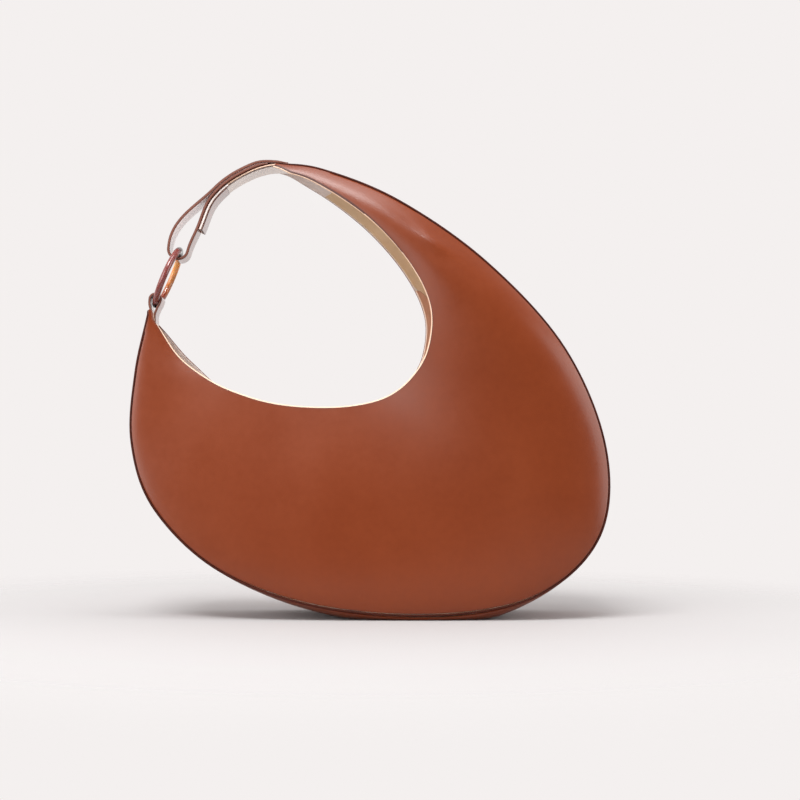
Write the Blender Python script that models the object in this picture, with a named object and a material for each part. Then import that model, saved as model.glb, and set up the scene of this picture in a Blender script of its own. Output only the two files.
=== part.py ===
import math

import bmesh
import bpy
from mathutils import Matrix, Vector

# Driving sizes, in metres. X runs to the bag's right, Y to its back and Z up from the surface it stands on.
BAG_WIDTH = 0.347
BAG_HEIGHT = 0.336
BAND_WIDTH = 0.087
SEAM_LIFT = 0.0044
BASE_SAG = 0.0041
LEATHER = 0.0016
FACING_LEATHER = 0.0012
LINING = 0.0008
WELT_RADIUS = 0.001
SEAM_GAP = 0.0003

# How far the panels stand out between their two edges, as a share of the crescent's width there.
DOME_SHARE = 0.095
DOME_POWER = 2.4
CROWN_POWER = 6

# Facing along the inside of the mouth.
FACING_DEPTH = 0.03

# Stiff board in the base, under the lining.
BOARD_THICKNESS = 0.002
BOARD_CORNER = 0.016
BOARD_MARGIN = 0.004

# Slip pocket on the back lining.
POCKET_THICKNESS = 0.0008
POCKET_SLACK = 0.0025

# Magnetic snap in the middle of the mouth.
SNAP_RADIUS = 0.0085
SNAP_THICKNESS = 0.0024
SNAP_DROP = 0.016
SNAP_SEAT = 0.0004
NUB_RADIUS = 0.0035
NUB_HEIGHT = 0.0014
NUB_PLAY = 0.0004
SNAP_BEVEL = 0.0006

# Resin ring, seen nearly edge-on, leaning to the right.
RING_RADIUS = 0.02235
RING_BAR_RADIUS = 0.0024
RING_LEAN = math.radians(23.6)

# Leather tab that holds the ring at the left tip.
TAB_PLY = 0.0016
TAB_TAIL = 0.012
TAB_LEAN = 0.0019
TAB_RISE = 0.0082
TAB_PLAY = 0.0004
TAB_SIDE_GAP = 0.0006
TAB_INNER_WIDTH = 0.0068
TAB_CURL = math.radians(-48)

# Strap loop: a doubled band from the top of the arch, through the ring and back under itself.
STRAP_PLY = 0.002
STRAP_LAP = 0.009
STRAP_SETBACK = 0.006
STRAP_SKIVE = 0.009
SKIVED_PLY = 0.0006
STRAP_SIDE_GAP = 0.0005
FOLD_TAPER = 0.0026
FOLD_INNER_RADIUS = 0.0062
TAIL_REACH_X = 0.0153
TAIL_REACH_Z = 0.0147
PATCH_PLY = 0.001
PATCH_LENGTH = 0.032

# The crescent as paired stations, from the left tip along the base and up the right side to the top of
# the arch. X is a share of the bag's width from its middle, Z a share of the height above the lowest seam.
OUTER_SHARES = [
    (-0.470, 0.663), (-0.494, 0.530), (-0.499, 0.376), (-0.449, 0.230), (-0.311, 0.095),
    (-0.101, 0.017), (0.157, 0.000), (0.358, 0.045), (0.482, 0.173), (0.494, 0.363),
    (0.409, 0.581), (0.247, 0.770), (0.064, 0.908), (-0.095, 0.982), (-0.197, 1.000),
]
MOUTH_SHARES = [
    (-0.458, 0.650), (-0.408, 0.570), (-0.349, 0.520), (-0.289, 0.488), (-0.208, 0.462),
    (-0.121, 0.452), (-0.035, 0.455), (0.038, 0.474), (0.090, 0.515), (0.125, 0.579),
    (0.130, 0.673), (0.084, 0.773), (-0.006, 0.879), (-0.120, 0.962), (-0.200, 0.988),
]

# Half depth of the seam and of the mouth edge at each station, as shares of the band's half width.
SEAM_DEPTH_SHARES = [.34, .53, .71, .85, .94, .99, 1, 1, 1, .99, .97, .91, .76, .49, .37]
MOUTH_DEPTH_SHARES = [.32, .40, .48, .55, .61, .64, .69, .78, .90, 1.01, 1.06, .99, .82, .49, .36]

# How far the band would sag between its seams at each station, as shares of its sag at the base. The ground
# holds it up where it sags further than that.
SAG_SHARES = [0, .1, .15, .2, .25, .73, 1.4, .45, .25, .2, .2, .15, .1, 0, 0]

# The arch's tail beyond the last station, along and off the line from the arch's top to the tail's end.
TAIL_SHARES = [(0.350, 0.142), (0.700, 0.145)]
TAIL_DEPTH_SHARE = 0.35

# Height of the facing's slanted end, as a share of its full depth.
FACING_STUB_SHARE = 0.15

# Columns across a panel, from the mouth edge to the seam, and across the band, from front to back.
PANEL_COLUMN_SHARES = (.3, .6, .85)
PANEL_FACING_INDEX = 2
PANEL_LINING_INDEX = -2
BAND_COLUMN_SHARE = .7
BAND_FRONT_LINING_INDEX = 1
BAND_FRONT_SIDE_INDEX = 2
BAND_MIDDLE_INDEX = 3
BAND_BACK_SIDE_INDEX = 4
BAND_BACK_LINING_INDEX = 5

# Where the pieces begin and end along the stations, counted from the left tip.
ROWS_A_STATION = 4
LINING_START = 1
LINING_END = 12.75
BAND_LINING_START = 0.75
FACING_START = 0.75
FACING_END = 10.5
POCKET_START = 4.75
POCKET_END = 7.5
POCKET_TOP_INDEX = 3
POCKET_BOTTOM_INDEX = 5
SNAP_STATION = 5
BASE_LAST_STATION = 9
STRAP_SPLIT_SHARE = 0.6

# Angles at which the strap's fold begins and ends round the ring, from level on the right.
FOLD_START = math.radians(176)
FOLD_END = math.radians(345)
HANDLE_SHARE = 0.38

SMOOTH_ANGLE = math.radians(40)
STRAP_STEPS = 9
FOLD_STEPS = 12
TAB_ARC_STEPS = 6
TAB_PATH_STEPS = 3
RING_STEPS = 40
BAR_STEPS = 10
SNAP_STEPS = 24
CORNER_STEPS = 6
MERGE_DISTANCE = 0.00001


def clear_scene():
    for thing in list(bpy.data.objects):
        bpy.data.objects.remove(thing, do_unlink=True)


def material(name, colour, roughness, metallic=0.0):
    made = bpy.data.materials.new(name)
    made.use_nodes = True
    shader = made.node_tree.nodes["Principled BSDF"]
    shader.inputs["Base Color"].default_value = (*colour, 1)
    shader.inputs["Roughness"].default_value = roughness
    shader.inputs["Metallic"].default_value = metallic
    return made


def add_object(name, mesh, finish):
    bmesh.ops.recalc_face_normals(mesh, faces=mesh.faces)
    data = bpy.data.meshes.new(name)
    mesh.to_mesh(data)
    mesh.free()
    data.materials.append(finish)
    data.shade_smooth()
    data.set_sharp_from_angle(angle=SMOOTH_ANGLE)
    thing = bpy.data.objects.new(name, data)
    bpy.context.collection.objects.link(thing)
    return thing


# Curves and rows

def smooth_value(values, place):
    """Reads a list of numbers or vectors at a fractional place, with a smooth curve through its points."""
    last = len(values) - 1
    start = min(int(place), last - 1)
    t = place - start
    p1, p2 = values[start], values[start + 1]
    p0 = values[start - 1] if start > 0 else p1 * 2 - p2
    p3 = values[start + 2] if start + 2 <= last else p2 * 2 - p1
    square = (p0 * 2 - p1 * 5 + p2 * 4 - p3) * t * t
    cube = (p1 * 3 - p0 - p2 * 3 + p3) * t * t * t
    return (p1 * 2 + (p2 - p0) * t + square + cube) * 0.5


def straight_value(values, place):
    start = min(int(place), len(values) - 2)
    t = place - start
    return values[start] * (1 - t) + values[start + 1] * t


def outline_points(shares):
    return [Vector((x * BAG_WIDTH, SEAM_LIFT + z * (BAG_HEIGHT - SEAM_LIFT))) for x, z in shares]


def ramp(value, start, length):
    """Rises smoothly from 0 to 1 over the length that begins at start."""
    t = min(max((value - start) / length, 0), 1)
    return t * t * (3 - 2 * t)


def normals_of(points):
    """Unit normals of a flat path, to the left of its direction."""
    found = []
    for index in range(len(points)):
        along = points[min(index + 1, len(points) - 1)] - points[max(index - 1, 0)]
        along.normalize()
        found.append(Vector((-along.y, along.x)))
    return found


def in_space(point, y):
    return Vector((point.x, y, point.y))


def bezier(start, start_way, end, end_way, steps):
    """Points between two ends, which the curve leaves and reaches along the given unit directions."""
    reach = (end - start).length * HANDLE_SHARE
    a = start + start_way * reach
    b = end - end_way * reach
    found = []
    for step in range(1, steps):
        t = step / steps
        u = 1 - t
        found.append(start * u ** 3 + a * 3 * u * u * t + b * 3 * u * t * t + end * t ** 3)
    return found


# The bag's outlines, the ring's place and the arch's tail

SEAM_LINE = outline_points(OUTER_SHARES)
MOUTH_LINE = outline_points(MOUTH_SHARES)
LAST_STATION = len(SEAM_LINE) - 1
PLACES = [row / ROWS_A_STATION for row in range(LAST_STATION * ROWS_A_STATION + 1)]

TIP = SEAM_LINE[0]
TAB_ORIGIN = TIP + Vector((LEATHER, 0))
TAB_LEFT = SEAM_GAP + TAB_PLY / 2
TAB_LEFT_UP = TAB_LEFT - TAB_LEAN
TAB_RIGHT = TAB_LEFT + TAB_PLY + SEAM_GAP
BAR_IN_TAB = Vector((TAB_LEFT_UP + TAB_PLY / 2 + SEAM_GAP + RING_BAR_RADIUS, TAB_RISE))

RING_WAY = Vector((math.sin(RING_LEAN), math.cos(RING_LEAN)))
RING_BOTTOM = TAB_ORIGIN + BAR_IN_TAB
RING_CENTRE = RING_BOTTOM + RING_WAY * RING_RADIUS
RING_TOP = RING_CENTRE + RING_WAY * RING_RADIUS
RING_AXIS = Vector((math.cos(RING_LEAN), 0, -math.sin(RING_LEAN)))

ARCH_TOP = SEAM_LINE[LAST_STATION]
TAIL_END = RING_TOP + Vector((TAIL_REACH_X, TAIL_REACH_Z))


def tail_points():
    chord = TAIL_END - ARCH_TOP
    side = Vector((chord.y, -chord.x))
    return [ARCH_TOP + chord * along + side * off for along, off in TAIL_SHARES] + [TAIL_END]


BAND_LINE = SEAM_LINE + tail_points()
BAND_DEPTHS = SEAM_DEPTH_SHARES + [TAIL_DEPTH_SHARE] * (len(TAIL_SHARES) + 1)
BAND_SAGS = SAG_SHARES + [0] * (len(TAIL_SHARES) + 1)
BAND_END = len(BAND_LINE) - 1
BAND_PLACES = [row / ROWS_A_STATION for row in range(BAND_END * ROWS_A_STATION + 1)]


def half_depth(place):
    if place > LAST_STATION:
        return straight_value(BAND_DEPTHS, place) * BAND_WIDTH / 2
    return seam_half_depth(place)


def seam_half_depth(place):
    return smooth_value(SEAM_DEPTH_SHARES, place) * BAND_WIDTH / 2


def mouth_half_depth(place):
    return smooth_value(MOUTH_DEPTH_SHARES, place) * BAND_WIDTH / 2


def crescent_width(place):
    return (smooth_value(SEAM_LINE, place) - smooth_value(MOUTH_LINE, place)).length


# Panels: rows of points and normals, from the mouth edge to the seam

PANEL_SETBACK = WELT_RADIUS + SEAM_GAP
BAND_SETBACK = LEATHER + SEAM_GAP
LINING_FACE = LEATHER + SEAM_GAP
LINING_BACK = LINING_FACE + LINING
FACING_BACK = LINING_FACE + FACING_LEATHER
LINING_SETBACK = LINING_BACK + SEAM_GAP


def panel_shares(place):
    """Columns across the crescent: mouth edge, facing, body, lining's edge and panel's edge."""
    width = crescent_width(place)
    edge = 1 - PANEL_SETBACK / width
    lined = max(1 - LINING_SETBACK / width, edge / 2)
    faced = min(FACING_DEPTH / width, lined / 2)
    body = [faced + (lined - faced) * share for share in PANEL_COLUMN_SHARES]
    return [0, faced / 2, faced, *body, lined, edge]


def band_shares(place):
    """Columns across the band, from its front edge to its back edge."""
    edge = 1 - BAND_SETBACK / half_depth(place)
    lined = 1 - LINING_SETBACK / half_depth(place)
    side = lined * BAND_COLUMN_SHARE
    return [-edge, -lined, -side, 0, side, lined, edge]


def panel_point(place, across):
    flat = smooth_value(MOUTH_LINE, place).lerp(smooth_value(SEAM_LINE, place), across)
    dome = DOME_SHARE * crescent_width(place) * (1 - abs(2 * across - 1) ** DOME_POWER)
    depth = mouth_half_depth(place) * (1 - across) + seam_half_depth(place) * across + dome
    return Vector((flat.x, -depth, flat.y))


def panel_rows():
    """The front panel's outer face as rows of cells: share across, point and outward normal."""
    shares = [panel_shares(place) for place in PLACES]
    grid = [[panel_point(place, share) for share in row] for place, row in zip(PLACES, shares)]
    return with_normals(shares, grid)


def with_normals(shares, grid):
    rows = []
    for i, row in enumerate(grid):
        ahead, behind = grid[min(i + 1, len(grid) - 1)], grid[max(i - 1, 0)]
        cells = []
        for j, point in enumerate(row):
            along = ahead[j] - behind[j]
            across = row[min(j + 1, len(row) - 1)] - row[max(j - 1, 0)]
            cells.append((shares[i][j], point, across.cross(along).normalized()))
        rows.append(cells)
    return rows


def cell_between(row, across):
    """Point and normal at a place between two columns, on the straight line that joins them."""
    column = 0
    while column < len(row) - 2 and row[column + 1][0] < across:
        column += 1
    (start, p, n), (end, q, m) = row[column], row[column + 1]
    t = (across - start) / (end - start)
    return p.lerp(q, t), n.lerp(m, t).normalized()


def row_between(row, after, length):
    """The row at this distance from one row towards the next."""
    t = length / (after[0][1] - row[0][1]).length
    return [(a + (b - a) * t, p.lerp(q, t), n.lerp(m, t).normalized())
            for (a, p, n), (b, q, m) in zip(row, after)]


def layer(rows, low, high, near, far):
    """Faces at two depths under the rows' face, trimmed to the shares between low and high on each row."""
    outer, inner = [], []
    for index, row in enumerate(rows):
        first, last = low(index), high(index)
        outer_row, inner_row = [], []
        for share, *_ in row:
            across = min(max(share, first), last)
            point, normal = cell_between(row, across)
            outer_row.append(point - normal * near(index, across))
            inner_row.append(point - normal * far(index, across))
        outer.append(outer_row)
        inner.append(inner_row)
    return outer, inner


def closed_sheet(outer, inner):
    """One closed body between two grids of points."""
    mesh = bmesh.new()
    tops = [[mesh.verts.new(point) for point in row] for row in outer]
    unders = [[mesh.verts.new(point) for point in row] for row in inner]
    rows, columns = len(tops), len(tops[0])
    for i in range(rows - 1):
        for j in range(columns - 1):
            mesh.faces.new((tops[i][j], tops[i + 1][j], tops[i + 1][j + 1], tops[i][j + 1]))
            mesh.faces.new((unders[i][j], unders[i][j + 1], unders[i + 1][j + 1], unders[i + 1][j]))
    for i in range(rows - 1):
        for j in (0, columns - 1):
            mesh.faces.new((tops[i][j], tops[i + 1][j], unders[i + 1][j], unders[i][j]))
    for j in range(columns - 1):
        for i in (0, rows - 1):
            mesh.faces.new((tops[i][j], tops[i][j + 1], unders[i][j + 1], unders[i][j]))
    bmesh.ops.remove_doubles(mesh, verts=mesh.verts, dist=MERGE_DISTANCE)
    return mesh


def mirrored(rows):
    """The same rows on the back of the bag."""
    flip = Vector((1, -1, 1))
    return [[(share, p * flip, n * flip) for share, p, n in row] for row in rows]


def constant(value):
    return lambda *place: value


def column_of(rows, column):
    return lambda index: rows[index][column][0]


def rows_from(rows, places, start, end):
    first, last = round(start * ROWS_A_STATION), round(end * ROWS_A_STATION)
    return rows[first:last + 1], places[first:last + 1]


def add_panel(name, rows, finish):
    outer, inner = layer(rows, constant(0), column_of(rows, -1), constant(0), constant(LEATHER))
    return add_object(name, closed_sheet(outer, inner), finish)


def facing_edge(place, row):
    """Lower edge of the facing: a set depth from the mouth, cut to a slant at its right end."""
    whole = row[PANEL_FACING_INDEX][0]
    return whole if place < FACING_END else whole * FACING_STUB_SHARE


def add_facing(name, rows, finish):
    faced, places = rows_from(rows, PLACES, FACING_START, FACING_END)
    outer, inner = layer(
        faced, constant(0), lambda index: facing_edge(places[index], faced[index]),
        constant(LINING_FACE), constant(FACING_BACK)
    )
    return add_object(name, closed_sheet(outer, inner), finish)


def add_lining(name, rows, finish):
    lined, places = rows_from(rows, PLACES, LINING_START, LINING_END)

    def upper_edge(index):
        if places[index] > FACING_END:
            return 0
        return facing_edge(places[index], lined[index]) + SEAM_GAP / crescent_width(places[index])

    outer, inner = layer(
        lined, upper_edge, column_of(lined, PANEL_LINING_INDEX), constant(LINING_FACE), constant(LINING_BACK)
    )
    return add_object(name, closed_sheet(outer, inner), finish)


def add_pocket(name, rows, finish):
    backed, places = rows_from(rows, PLACES, POCKET_START, POCKET_END)
    last = len(places) - 1
    seat = LINING_BACK + SEAM_GAP
    top, bottom = column_of(backed, POCKET_TOP_INDEX), column_of(backed, POCKET_BOTTOM_INDEX)

    def slack(index, across):
        sideways = 4 * index * (last - index) / last ** 2
        downward = (bottom(index) - across) / (bottom(index) - top(index))
        return POCKET_SLACK * sideways * downward

    outer, inner = layer(
        backed, top, bottom, lambda index, across: seat + slack(index, across),
        lambda index, across: seat + POCKET_THICKNESS + slack(index, across)
    )
    return add_object(name, closed_sheet(outer, inner), finish)


# Band: the strip between the panels, which runs on as the arch and its tail

def band_rows():
    """The band's outer face as rows of columns. It is pressed flat where it meets the ground."""
    line = [smooth_value(BAND_LINE, place) for place in BAND_PLACES]
    outward = [-normal for normal in normals_of(line)]
    shares = [band_shares(place) for place in BAND_PLACES]
    grid = []
    for place, point, way, columns in zip(BAND_PLACES, line, outward, shares):
        sag = smooth_value(BAND_SAGS, place) * (SEAM_LIFT + BASE_SAG)
        reach = half_depth(place)
        row = []
        for share in columns:
            flat = point + way * sag * (1 - abs(share) ** CROWN_POWER)
            row.append(Vector((flat.x, share * reach, max(flat.y, 0))))
        grid.append(row)
    return with_normals(shares, grid)


def add_band(finish):
    rows = band_rows()
    outer, inner = layer(rows, column_of(rows, 0), column_of(rows, -1), constant(0), constant(LEATHER))
    return add_object("gusset_band", closed_sheet(outer, inner), finish)


def flat_base():
    """The part of the band's outer face that lies on the ground: its ends in X, and half its width in Y."""
    down = []
    for row in band_rows():
        if row[BAND_FRONT_SIDE_INDEX][1].z == 0 and row[BAND_MIDDLE_INDEX][1].z == 0:
            down.append(row)
    left = min(row[BAND_MIDDLE_INDEX][1].x for row in down)
    right = max(row[BAND_MIDDLE_INDEX][1].x for row in down)
    half = min(row[BAND_BACK_SIDE_INDEX][1].y for row in down)
    return left, right, half


BASE_LEFT, BASE_RIGHT, BASE_HALF = flat_base()
BOARD_LEFT = BASE_LEFT + BOARD_MARGIN
BOARD_RIGHT = BASE_RIGHT - BOARD_MARGIN


def board_lift(point):
    """How far the lining is raised over the board, running out just past the flat base."""
    inside = ramp(point.x, BASE_LEFT - BOARD_CORNER, BOARD_CORNER)
    outside = 1 - ramp(point.x, BASE_RIGHT, BOARD_CORNER)
    return (BOARD_THICKNESS + SEAM_GAP) * inside * outside


def add_band_lining(finish):
    first = round(BAND_LINING_START * ROWS_A_STATION)
    after = patch_first_row() + 1
    rows, places = band_rows()[first:after], BAND_PLACES[first:after]
    rows[-1] = row_between(rows[-1], rows[-2], SEAM_GAP)
    lifts = [
        board_lift(row[BAND_MIDDLE_INDEX][1]) if place < BASE_LAST_STATION else 0
        for place, row in zip(places, rows)
    ]
    outer, inner = layer(
        rows, column_of(rows, BAND_FRONT_LINING_INDEX), column_of(rows, BAND_BACK_LINING_INDEX),
        lambda index, across: LINING_FACE + lifts[index], lambda index, across: LINING_BACK + lifts[index]
    )
    return add_object("gusset_lining", closed_sheet(outer, inner), finish)


def patch_first_row():
    """The row of the tail where the patch under its end begins."""
    line = [smooth_value(BAND_LINE, place) for place in BAND_PLACES]
    left, row = PATCH_LENGTH, len(line) - 1
    while left > 0:
        left -= (line[row] - line[row - 1]).length
        row -= 1
    return row


def add_tail_patch(finish):
    rows = band_rows()[patch_first_row():]
    patch_back = LINING_FACE + PATCH_PLY
    outer, inner = layer(
        rows, column_of(rows, 0), column_of(rows, -1), constant(LINING_FACE), constant(patch_back)
    )
    return add_object("tail_patch", closed_sheet(outer, inner), finish)


def add_board(finish):
    half = BASE_HALF - BOARD_MARGIN
    corner = min(BOARD_CORNER, half)
    floor = LEATHER + SEAM_GAP
    ring = []
    turns = ((BOARD_RIGHT, half, 0), (BOARD_LEFT, half, 1), (BOARD_LEFT, -half, 2), (BOARD_RIGHT, -half, 3))
    middle = (BOARD_LEFT + BOARD_RIGHT) / 2
    for x, y, quarter in turns:
        centre = Vector((x - math.copysign(corner, x - middle), y - math.copysign(corner, y)))
        for step in range(CORNER_STEPS + 1):
            angle = (quarter + step / CORNER_STEPS) * math.pi / 2
            ring.append(centre + Vector((math.cos(angle), math.sin(angle))) * corner)
    mesh = bmesh.new()
    base = mesh.faces.new([mesh.verts.new((p.x, p.y, floor)) for p in ring])
    top = bmesh.ops.extrude_face_region(mesh, geom=[base])
    raised = [part for part in top["geom"] if isinstance(part, bmesh.types.BMVert)]
    bmesh.ops.translate(mesh, verts=raised, vec=(0, 0, BOARD_THICKNESS))
    return add_object("base_board", mesh, finish)


# Welts: round beads along the two outer seams

def add_welt(name, side, finish):
    curve = bpy.data.curves.new(name, "CURVE")
    curve.dimensions = "3D"
    curve.bevel_depth = WELT_RADIUS
    curve.bevel_resolution = 1
    curve.use_fill_caps = True
    line = curve.splines.new("POLY")
    points = [in_space(smooth_value(SEAM_LINE, place), side * seam_half_depth(place)) for place in PLACES]
    line.points.add(len(points) - 1)
    for spot, point in zip(line.points, points):
        spot.co = (*point, 1)
    curve.materials.append(finish)
    thing = bpy.data.objects.new(name, curve)
    bpy.context.collection.objects.link(thing)
    return thing


# Ribbons: flat strips of leather that bend in the XZ plane

def ribbon(name, sides, half_widths, finish):
    """Each side pair holds a strip's two faces at one place, and the half width there."""
    outer = [[in_space(a, -w), in_space(a, w)] for (a, b), w in zip(sides, half_widths)]
    inner = [[in_space(b, -w), in_space(b, w)] for (a, b), w in zip(sides, half_widths)]
    return add_object(name, closed_sheet(outer, inner), finish)


def sides_of(path, thickness):
    half = thickness / 2
    return [(point + normal * half, point - normal * half) for point, normal in zip(path, normals_of(path))]


def bar_reach(half_width):
    """How far the ring's bar reaches towards its centre within a band of this half width."""
    return RING_RADIUS - math.sqrt((RING_RADIUS - RING_BAR_RADIUS) ** 2 - half_width ** 2)


def add_ring_tab(finish):
    half_width = mouth_half_depth(0) - LEATHER - TAB_SIDE_GAP
    inner_half = TAB_INNER_WIDTH / 2
    bend = inner_half + TAB_PLY / 2
    inner_top = BAR_IN_TAB.y + bar_reach(half_width) + TAB_PLAY
    arc_centre = Vector((TAB_LEFT_UP + bend, inner_top - inner_half))
    hold = RING_BAR_RADIUS + SEAM_GAP + TAB_PLY / 2
    stops = [
        Vector((TAB_LEFT, -TAB_TAIL)),
        Vector((TAB_LEFT, -TAB_TAIL / 2)),
        Vector((TAB_LEFT, 0)),
        Vector((TAB_LEFT_UP, BAR_IN_TAB.y - RING_BAR_RADIUS / 2)),
    ]
    for step in range(TAB_ARC_STEPS + 1):
        angle = math.pi * (1 - step / TAB_ARC_STEPS)
        stops.append(arc_centre + Vector((math.cos(angle), math.sin(angle))) * bend)
    for angle in (TAB_CURL / 3, TAB_CURL):
        stops.append(BAR_IN_TAB + Vector((math.cos(angle), math.sin(angle))) * hold)
    stops += [
        Vector((TAB_RIGHT, 0)),
        Vector((TAB_RIGHT, -TAB_TAIL / 2)),
        Vector((TAB_RIGHT, -TAB_TAIL)),
    ]
    count = (len(stops) - 1) * TAB_PATH_STEPS
    path = [TAB_ORIGIN + smooth_value(stops, step / TAB_PATH_STEPS) for step in range(count + 1)]
    return ribbon("ring_tab", sides_of(path, TAB_PLY), [half_width] * len(path), finish)


def band_reading(line, normals, lengths, distance):
    """Point and outward normal of the band's outer face, at a distance along it."""
    row = 0
    while row < len(lengths) - 2 and lengths[row + 1] < distance:
        row += 1
    t = (distance - lengths[row]) / (lengths[row + 1] - lengths[row])
    return line[row].lerp(line[row + 1], t), normals[row].lerp(normals[row + 1], t).normalized()


def add_strap_loop(finish):
    """The strap in one piece: over the arch, round the ring, and back between arch and strap."""
    line = [smooth_value(BAND_LINE, place) for place in BAND_PLACES]
    outward = [-normal for normal in normals_of(line)]
    lengths = [0]
    for a, b in zip(line, line[1:]):
        lengths.append(lengths[-1] + (b - a).length)
    arch = lengths[LAST_STATION * ROWS_A_STATION]
    tail = lengths[-1] - arch
    strap_start = arch - STRAP_LAP
    inner_end = arch + STRAP_SETBACK
    split = arch + tail * STRAP_SPLIT_SHARE

    def stand_off(distance):
        """Height of the outer ply over the band: over the inner ply once that has begun."""
        return SEAM_GAP + (STRAP_PLY + SEAM_GAP) * ramp(distance, inner_end - STRAP_SKIVE, 2 * STRAP_SKIVE)

    def outer_ply(distance):
        point, way = band_reading(line, outward, lengths, distance)
        thickness = SKIVED_PLY + (STRAP_PLY - SKIVED_PLY) * ramp(distance, strap_start, STRAP_SKIVE)
        low = stand_off(distance)
        return point + way * (low + thickness), point + way * low

    def inner_ply(distance):
        point, way = band_reading(line, outward, lengths, distance)
        return point + way * SEAM_GAP, point + way * (stand_off(distance) - SEAM_GAP)

    def spread(start, end):
        between = [place for place in lengths if min(start, end) < place < max(start, end)]
        if start > end:
            between.reverse()
        return [start] + between + [end]

    sides = [outer_ply(distance) for distance in spread(strap_start, split)]
    point, way = band_reading(line, outward, lengths, split)
    leave = (sides[-1][0] + sides[-1][1]) / 2
    leave_way = Vector((-way.y, way.x))

    arch_half = half_depth(LAST_STATION) - WELT_RADIUS - STRAP_SIDE_GAP
    fold_half = arch_half - FOLD_TAPER
    radius = FOLD_INNER_RADIUS + STRAP_PLY / 2
    sink = bar_reach(fold_half) + SEAM_GAP - FOLD_INNER_RADIUS
    fold_centre = RING_TOP - RING_WAY * sink

    end_sides = [inner_ply(distance) for distance in spread(lengths[-1], inner_end)]
    arrive = (end_sides[0][0] + end_sides[0][1]) / 2
    point, way = band_reading(line, outward, lengths, lengths[-1])
    arrive_way = Vector((way.y, -way.x))

    arc = []
    for step in range(FOLD_STEPS + 1):
        angle = FOLD_START + (FOLD_END - FOLD_START) * step / FOLD_STEPS
        arc.append(fold_centre + Vector((math.cos(angle), math.sin(angle))) * radius)
    down_way = Vector((-math.sin(FOLD_START), math.cos(FOLD_START)))
    up_way = Vector((-math.sin(FOLD_END), math.cos(FOLD_END)))
    down = bezier(leave, leave_way, arc[0], down_way, STRAP_STEPS)
    up = bezier(arc[-1], up_way, arrive, arrive_way, STRAP_STEPS)
    free = [leave] + down + arc + up + [arrive]
    free_sides = [(point - normal * STRAP_PLY / 2, point + normal * STRAP_PLY / 2)
                  for point, normal in zip(free, normals_of(free))]
    sides = sides + free_sides[1:-1] + end_sides

    widths = []
    fold_low = fold_centre.y - radius
    for a, b in sides:
        share = min(max(((a.y + b.y) / 2 - fold_low) / (leave.y - fold_low), 0), 1)
        widths.append(fold_half + (arch_half - fold_half) * ramp(share, 0, 1))
    return ribbon("strap_loop", sides, widths, finish)


# Ring and magnetic snap

def add_ring(finish):
    mesh = bmesh.new()
    shift = Matrix.Translation((RING_RADIUS, 0, 0)) @ Matrix.Rotation(math.pi / 2, 4, "X")
    bmesh.ops.create_circle(mesh, segments=BAR_STEPS, radius=RING_BAR_RADIUS, matrix=shift)
    bmesh.ops.spin(
        mesh, geom=mesh.edges[:], cent=(0, 0, 0), axis=(0, 0, 1), angle=2 * math.pi, steps=RING_STEPS,
        use_duplicate=False
    )
    bmesh.ops.remove_doubles(mesh, verts=mesh.verts, dist=MERGE_DISTANCE)
    thing = add_object("ring", mesh, finish)
    thing.location = in_space(RING_CENTRE, 0)
    thing.rotation_euler = RING_AXIS.to_track_quat("Z", "Y").to_euler()
    return thing


def turned(profile):
    """A closed body from a profile of radius and height, which starts and ends on the axis."""
    mesh = bmesh.new()
    spots = [mesh.verts.new((radius, 0, height)) for radius, height in profile]
    edges = [mesh.edges.new(pair) for pair in zip(spots, spots[1:])]
    bmesh.ops.spin(
        mesh, geom=edges, cent=(0, 0, 0), axis=(0, 0, 1), angle=2 * math.pi, steps=SNAP_STEPS,
        use_duplicate=False
    )
    bmesh.ops.remove_doubles(mesh, verts=mesh.verts, dist=MERGE_DISTANCE)
    return mesh


def add_snap(name, rows, profile, finish):
    """One half of the snap, seated on the facing's inner face a set distance below the mouth edge."""
    row = rows[SNAP_STATION * ROWS_A_STATION]
    share = SNAP_DROP / crescent_width(SNAP_STATION)
    point, normal = cell_between(row, share)
    thing = add_object(name, turned(profile), finish)
    thing.location = point - normal * (FACING_BACK + SNAP_SEAT)
    thing.rotation_euler = (-normal).to_track_quat("Z", "Y").to_euler()
    return thing


def snap_profiles():
    hole = NUB_RADIUS + NUB_PLAY
    depth = NUB_HEIGHT + NUB_PLAY
    rim = SNAP_RADIUS - SNAP_BEVEL
    shoulder = SNAP_THICKNESS - SNAP_BEVEL
    disc = [(0, 0), (SNAP_RADIUS, 0), (SNAP_RADIUS, shoulder), (rim, SNAP_THICKNESS)]
    floor = SNAP_THICKNESS - depth
    top = SNAP_THICKNESS + NUB_HEIGHT
    socket = disc + [(hole, SNAP_THICKNESS), (hole, floor), (0, floor)]
    stud = disc + [(NUB_RADIUS, SNAP_THICKNESS), (NUB_RADIUS, top), (0, top)]
    return socket, stud


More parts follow.
